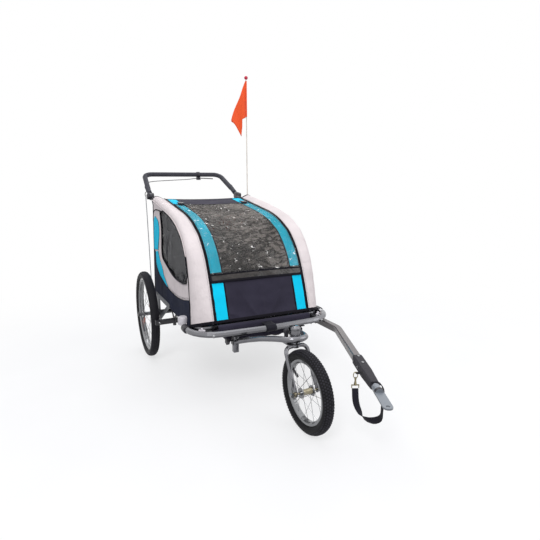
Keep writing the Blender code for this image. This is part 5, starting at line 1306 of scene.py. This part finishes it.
def tyre(name, place, radius, body, node):
    """Tyre with its knobs: rows by the middle, on the edges of the tread and on the shoulders."""
    half = [(a, radius - drop) for a, drop in (
        (0.0, 0.0024), (0.0070, 0.0030), (0.0135, 0.0056), (0.0190, 0.0112), (0.0222, 0.0160),
        (0.0232, 0.0200), (0.0222, 0.0270), (0.0180, 0.0340), (0.0148, 0.0375))]
    section = [(-a, r) for a, r in reversed(half[1:])] + half
    wide, steps = len(section), 120
    # the last step round the wheel is twice as wide as the others
    angles = ring_angles(steps + 1)[:steps]
    vertices = [(a, r * math.cos(q), r * math.sin(q)) for q in angles for a, r in section]
    faces = [(k * wide + j, (k + 1) % steps * wide + j, (k + 1) % steps * wide + j + 1, k * wide + j + 1)
             for k in range(steps) for j in range(wide - 1)]
    plain = len(faces)
    count = round(2 * math.pi * radius / 0.0128)
    # place across, depth, lean of the outside, half width across, phase
    knob_rows = ((0.0045, 0.0026, 0.06, 0.0036, 0.0), (0.0130, 0.0054, 0.36, 0.0034, 0.5),
                 (0.0196, 0.0120, 0.95, 0.0030, 0.0))
    for across, depth, lean, wing, phase in knob_rows:
        for s, start in ((-1, phase), (1, 0.5 - phase)):
            side = Vector((math.cos(lean), -s * math.sin(lean)))
            out = Vector((-side.y, side.x))
            for k in range(count):
                mid = 2 * math.pi * (k + start) / count
                a = len(vertices)
                for high, shrink in ((-0.0006, 1.0), (0.0022, 0.78)):
                    for u, v in ((-1, -1), (1, -1), (1, 1), (-1, 1)):
                        spot = Vector((s * across, radius - depth))
                        spot += side * (u * wing * shrink) + out * high
                        q = mid + v * 0.0038 * shrink / radius
                        r = min(spot.y, radius - 0.0002)
                        vertices.append((spot.x, r * math.cos(q), r * math.sin(q)))
                faces.append((a + 4, a + 5, a + 6, a + 7))
                faces += [(a + j, a + (j + 1) % 4, a + 4 + (j + 1) % 4, a + 4 + j) for j in range(4)]
    item = keep(mesh_item(name, [place @ Vector(v) for v in vertices], faces), (RUBBER, KNOB), body, "rubber")
    for k, polygon in enumerate(item.data.polygons):
        polygon.material_index = int(k >= plain)
        polygon.use_smooth = k < plain
    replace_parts(item, node)


def tyres():
    """The three tyres, and what shows at the front wheel's hub and rim."""
    for side, s in SIDES:
        place = Matrix.Translation(at(s * REAR_WHEEL_X, 0, REAR_RADIUS))
        tyre("rear_tyre_" + side, place, REAR_RADIUS, "rear_wheel_" + side, "rear_%s_tyre" % side)
    hub = at(FRONT_WHEEL_X, FRONT_WHEEL_Y, FRONT_RADIUS)
    turn = Matrix.Rotation(FRONT_TURN, 4, "Z")
    tyre("front_tyre_tread", Matrix.Translation(hub) @ turn, FRONT_RADIUS, "front_wheel", "front_tyre")
    half = [(0.012, 0.0126), (0.0225, 0.0136), (0.0238, 0.0121)]
    barrel = [(-a, r) for a, r in reversed(half)] + half
    turned_piece("front_hub_barrel", barrel, hub, turn @ Vector((1, 0, 0)), AXLE, "front_wheel",
                 "bright_steel", 24)
    race = [(0, 0.0125), (0.003, 0.0150), (0.011, 0.0212), (0.0145, 0.0216), (0.0150, 0.0190)]
    turned_piece("fork_race", race, at(0, STEER_Y, 0.3348), (0, 0, 1), PLASTIC, "fork_body",
                 "black_plastic", 28)
    valve = [(0, 0.0052), (0.008, 0.0050), (0.020, 0.0050), (0.022, 0.0054), (0.040, 0.0054), (0.042, 0.0040)]
    out = turn @ radial(math.radians(29))
    turned_piece("front_valve", valve, hub + out * 0.119, -out, PLASTIC, "front_wheel", "black_plastic", 12)


def arm_height(distance):
    """Height of the wheel arm's tube at a distance from the steering axis."""
    for (d0, z0), (d1, z1) in zip(ARM_HEIGHTS, ARM_HEIGHTS[1:]):
        if distance <= d1:
            return z0 + (z1 - z0) * (distance - d0) / (d1 - d0)
    return ARM_HEIGHTS[-1][1]


def wheel_arm():
    """Bent tube that carries the front wheel, with its head and its two square posts."""
    centre, nose, end = Vector((0, -1.038)), 0.052, Vector((POST_X, -0.7775))
    reach = end - centre
    tangent = math.atan2(reach.y, reach.x) - math.acos(nose / reach.length)
    half = [centre + nose * Vector((math.cos(a), math.sin(a))) for a in even(-math.pi / 2, tangent, 16)]
    half += [half[-1].lerp(end, k / 24) for k in range(1, 25)]
    flat = [Vector((-p.x, p.y)) for p in reversed(half[1:])] + half
    line = [at(p.x, p.y, arm_height(math.hypot(p.x, p.y - STEER_Y))) for p in flat]
    for _ in range(2):
        line = [line[0]] + [(a + b * 2 + c) / 4 for a, b, c in zip(line, line[1:], line[2:])] + [line[-1]]
    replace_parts(pipe("wheel_arm_tube", line, 0.0127, SILVER, resolution=6), "wheel_arm")
    head = [(0, 0.0170), (0.0015, 0.0196), (0.003, 0.0200), (0.057, 0.0200), (0.0585, 0.0196),
            (0.060, 0.0170), (0.0602, 0.0145)]
    turned_piece("wheel_arm_head", head, at(0, STEER_Y, 0.350), (0, 0, 1), SILVER, steps=36)
    box_piece("wheel_arm_ear", at(-0.0215, -1.0295, 0.3585), (0.023, 0.045, 0.014), SILVER, bevel=0.003)
    for side, s in SIDES:
        for name, z, size, look, bevel in (
                ("wheel_arm_post_", 0.2821, (0.025, 0.025, 0.0942), SILVER, 0.0024),
                ("wheel_arm_post_mouth_", 0.2353, (0.0206, 0.0206, 0.0010), PLASTIC, 0.0004)):
            box_piece(name + side, at(s * POST_X, POST_Y, z), size, look, bevel=bevel)


# Flag and tow gear
def flag():
    """Pennant with a soft wave, its sleeve round the pole, the ball and the holder's collar."""
    edge = ((0.0, 0.0125), (0.044, 0.120), (0.100, 0.249), (0.085, 0.274), (0.070, 0.290), (0.030, 0.353))
    back = ((0.0, 0.0127), (0.0, 0.09), (0.0, 0.16), (0.0, 0.233), (0.022, 0.2305), (0.024, 0.295))

    def waved(p):
        wave = 0.0045 * math.sin(p.x * 62 + p.y * 18) * min(1.0, p.x / 0.02)
        return at(POLE_X - 0.0042 - p.x, POLE_Y + wave, PENNANT_TOP - p.y)

    rows = [[waved(b.lerp(a, k / 8)) for k in range(9)]
            for a, b in zip(spline_through(edge, 6), spline_through(back, 6))]
    item = grid_piece("pennant", rows, ORANGE, 0.0006, slot="orange_cloth", body="flag", offset=0.0)
    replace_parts(item, "flag_pennant")
    radius = 0.0113
    ball = [(radius * (1 - math.cos(a)), max(0.0002, radius * math.sin(a))) for a in even(0, math.pi, 14)]
    sleeve = [(0, 0.0041), (0.002, 0.0045), (0.214, 0.0045), (0.216, 0.0041)]
    collar = [(0, 0.0090), (0.004, 0.0098), (0.012, 0.0098), (0.016, 0.0080)]
    for name, profile, z, material, body, slot, steps in (
            ("pennant_sleeve", sleeve, PENNANT_TOP - 0.2315, ORANGE, "flag", "orange_cloth", 16),
            ("flag_ball", ball, POLE_TOP - 2 * radius, BALL, "flag", None, 24),
            ("flag_socket_collar", collar, 0.8990, PLASTIC, "chassis", "black_plastic", 20)):
        turned_piece(name, profile, at(POLE_X, POLE_Y, z), (0, 0, 1), material, body, slot, steps)


def tow_details():
    """Rivets of the tow arm and its connector, and the coupler's collar."""
    along = (TOW_TIP - TOW_END).normalized()
    across = Vector((along.y, -along.x))
    out = 0.0196
    for k, d in enumerate((-0.030, 0.034)):
        p = TOW_END + along * d
        bolt("sleeve_rivet_%d" % k, at(p.x, p.y, TOW_Z + out), (0, 0, 1), 0.0060)
        p += across * out
        bolt("sleeve_rivet_side_%d" % k, at(p.x, p.y, TOW_Z), (across.x, across.y, 0), 0.0060)
    mid = TOW_TIP + along * 0.046
    turned_piece("joint_collar", [(0, 0.0158), (0.001, 0.0166), (0.011, 0.0166), (0.012, 0.0158)],
                 at(mid.x, mid.y, TOW_Z), (along.x, along.y, 0), PLASTIC, "tow_coupler", "black_plastic", 24)
    first = TOW_BEND - TOW_START
    for k, y in enumerate((-0.470, -0.560, -0.690)):
        x = TOW_START.x + first.x / first.y * (y - TOW_START.y)
        bolt("receiver_rivet_%d" % k, at(x + 0.0194, y, TOW_Z), (1, 0, 0), 0.0050)


def strap_line():
    """Route of the safety strap, from the connector down and up to the snap hook, and its width's way."""
    along = (TOW_END - TOW_BEND).normalized().to_3d()
    across = Vector((along.y, -along.x, 0))
    down = Vector((0, 0, -1))
    root = at(TOW_TIP.x, TOW_TIP.y, TOW_Z) - along * 0.0135 - across * 0.0168
    hook = at(TOW_END.x, TOW_END.y, 0.2317) + along * 0.060 + across * 0.0330
    middle = ((0.1405, -1.4480, 0.2840), (0.1410, -1.4500, 0.2530), (0.1400, -1.4480, 0.2090),
              (0.1440, -1.4380, 0.1680), (0.1400, -1.4000, 0.1390), (0.1280, -1.3650, 0.1350),
              (0.1190, -1.3430, 0.1580), (0.1170, -1.3250, 0.1870))
    spots = [root, root - across * 0.0080 + down * 0.0010, root - across * 0.0145 + down * 0.009]
    spots += [at(*p) for p in middle] + [hook]
    ways = [along] * 6 + [along + down, down, down * 1.5 - across, down - across * 1.5, -across, -across]
    return spline_through(spots, 3), spline_through(ways, 3)


def safety_strap():
    """Webbing that hangs from the connector to its snap hook."""
    spots, ways = strap_line()
    half = ((1, 0.7), (0.55, 1), (0, 1), (-0.55, 1), (-1, 0.7))
    section = [(-a, -b) for a, b in half] + list(half)
    vertices = []
    for k, spot in enumerate(spots):
        tangent = tangent_at(spots, k)
        side = (ways[k] - tangent * ways[k].dot(tangent)).normalized()
        out = tangent.cross(side).normalized()
        vertices += [spot + side * (a * 0.0125) + out * (b * 0.0012) for a, b in section]
    faces = loops_to_tube(len(spots), len(section))
    item = keep(mesh_item("safety_webbing", vertices, faces), WEBBING, "chassis", "webbing")
    length = sum((b - a).length for a, b in zip(spots, spots[1:]))
    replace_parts(item, "safety_strap")
    tuple(spots[0])
    [tuple(p) for p in spots]


def looks():
    """Materials of the solids that keep their shape."""
    for material, names in (
            (SILVER, ("base_frame", "bumper_bar", "side_hoop_left", "side_hoop_right", "roof_crossbar",
                      "fork")),
            (GREY_STEEL, ("coupler",)), (FRAME_STEEL, ("axle_beam", "brake_backplate")),
            (DARK_STEEL, ("guard_bar", "tow_receiver", "wheel_receiver_left", "wheel_receiver_right")),
            (HANDLE, ("handlebar",)), (FOAM, ("handlebar_grip",)), (PEWTER, ("tow_arm",)),
            (BRASSY, ("snap_hook",)),
            (BRIGHT, ("rear_left_rim", "rear_right_rim", "front_rim", "rear_left_hub", "rear_right_hub",
                      "quick_release_lever", "tow_pin", "front_hub")), (AXLE, ("front_axle",)),
            (PLASTIC, ("handle_bracket_left", "handle_bracket_right", "handle_knob_left", "handle_knob_right",
                       "receiver_knob_left", "receiver_knob_right", "swivel_lock_knob", "brake_lever",
                       "brake_lever_mount", "brake_cable_upper")),
            (CABLE, ("brake_cable",)), (FLEX, ("flex_connector",)), (POLE, ("flag_pole",))):
        for name in names:
            NODES[name].data.materials.clear()
            NODES[name].data.materials.append(material)


# Camera, floor and light
def camera():
    scene = bpy.context.scene
    eye = bpy.data.cameras.new("camera")
    eye.sensor_width = 36.0
    eye.lens = 30.137
    item = linked("camera", eye)
    item.location = at(-0.867, -2.613, 1.008)
    item.rotation_euler = (math.pi / 2 - 0.1943, 0.0019, -0.451)
    scene.camera = item
    scene.view_settings.view_transform = "Standard"


def plain_rays(tree):
    """One for rays from the camera, a gloss or a clear film, and nothing for light that lands on things."""
    path = add(tree, "ShaderNodeLightPath")
    unlit = maths(tree, "MAXIMUM", path.outputs["Is Glossy Ray"], path.outputs["Is Transmission Ray"])
    return maths(tree, "MAXIMUM", path.outputs["Is Camera Ray"], unlit)


def stage_floor():
    """Pale floor that turns plain white away from the trailer, so that no horizon shows."""
    item = mesh_item("floor", [(-14, -14, 0), (14, -14, 0), (14, 14, 0), (-14, 14, 0)], [(0, 1, 2, 3)])
    item.location.z = -0.0004
    material, tree, shader, vector = new_look("floor_look")
    tint(tree, shader, noise_node(tree, vector, 1.5, 2.0), 0.2, 0.8, srgb(150, 150, 152), srgb(158, 158, 159))
    set_inputs(shader, Roughness=0.9, Specular_IOR_Level=0.1)
    reach = add(tree, "ShaderNodeVectorMath", operation="LENGTH")
    tree.links.new(vector, reach.inputs[0])
    far = add(tree, "ShaderNodeMapRange", interpolation_type="SMOOTHSTEP", From_Min=0.9, From_Max=2.6)
    tree.links.new(reach.outputs["Value"], far.inputs["Value"])
    seen = plain_rays(tree)
    glow = add(tree, "ShaderNodeEmission")
    tree.links.new(maths(tree, "MULTIPLY", seen, 0.64), glow.inputs["Strength"])
    both = add(tree, "ShaderNodeAddShader")
    tree.links.new(shader.outputs[0], both.inputs[0])
    tree.links.new(glow.outputs[0], both.inputs[1])
    white = add(tree, "ShaderNodeEmission", Strength=1.0)
    share = maths(tree, "MULTIPLY", far.outputs["Result"], seen)
    surface = mix_shaders(tree, share, both.outputs[0], white.outputs[0])
    tree.links.new(surface, tree.nodes["Material Output"].inputs["Surface"])
    item.data.materials.append(material)


def lamps():
    for name, spot, size, power in (
            ("key", (-2.2, -3.2, 3.6), 1.5, 95.0), ("fill", (3.2, -2.0, 2.4), 3.0, 40.0),
            ("rim", (0.8, 3.4, 3.4), 2.6, 40.0), ("top", (0.0, 0.0, 4.2), 3.4, 30.0)):
        lamp = bpy.data.lights.new(name, "AREA")
        lamp.shape = "SQUARE"
        lamp.size = size
        lamp.energy = power
        item = linked(name, lamp)
        item.location = spot
        item.rotation_euler = (Vector((0, 0, 0.5)) - Vector(spot)).to_track_quat("-Z", "Y").to_euler()


def world():
    """Soft light from all round, behind a plain white background."""
    sky = bpy.data.worlds.new("world")
    bpy.context.scene.world = sky
    sky.use_nodes = True
    tree = sky.node_tree
    tree.nodes.clear()
    lit = add(tree, "ShaderNodeBackground", Strength=0.58, Color=(0.93, 0.95, 1.0, 1.0))
    white = add(tree, "ShaderNodeBackground", Strength=1.0, Color=(1.0, 1.0, 1.0, 1.0))
    surface = mix_shaders(tree, plain_rays(tree), lit.outputs[0], white.outputs[0])
    tree.links.new(surface, add(tree, "ShaderNodeOutputWorld").inputs["Surface"])


camera()
stage_floor()
lamps()
world()
safety_strap()
cover()
cover_trim()
film()
sides()
lower_sides()
floor()
rear_wall()
rear_pocket()
seat()
harness()
frame_details()
handle_trim()
wheels_trim()
tyres()
wheel_arm()
flag()
tow_details()
looks()
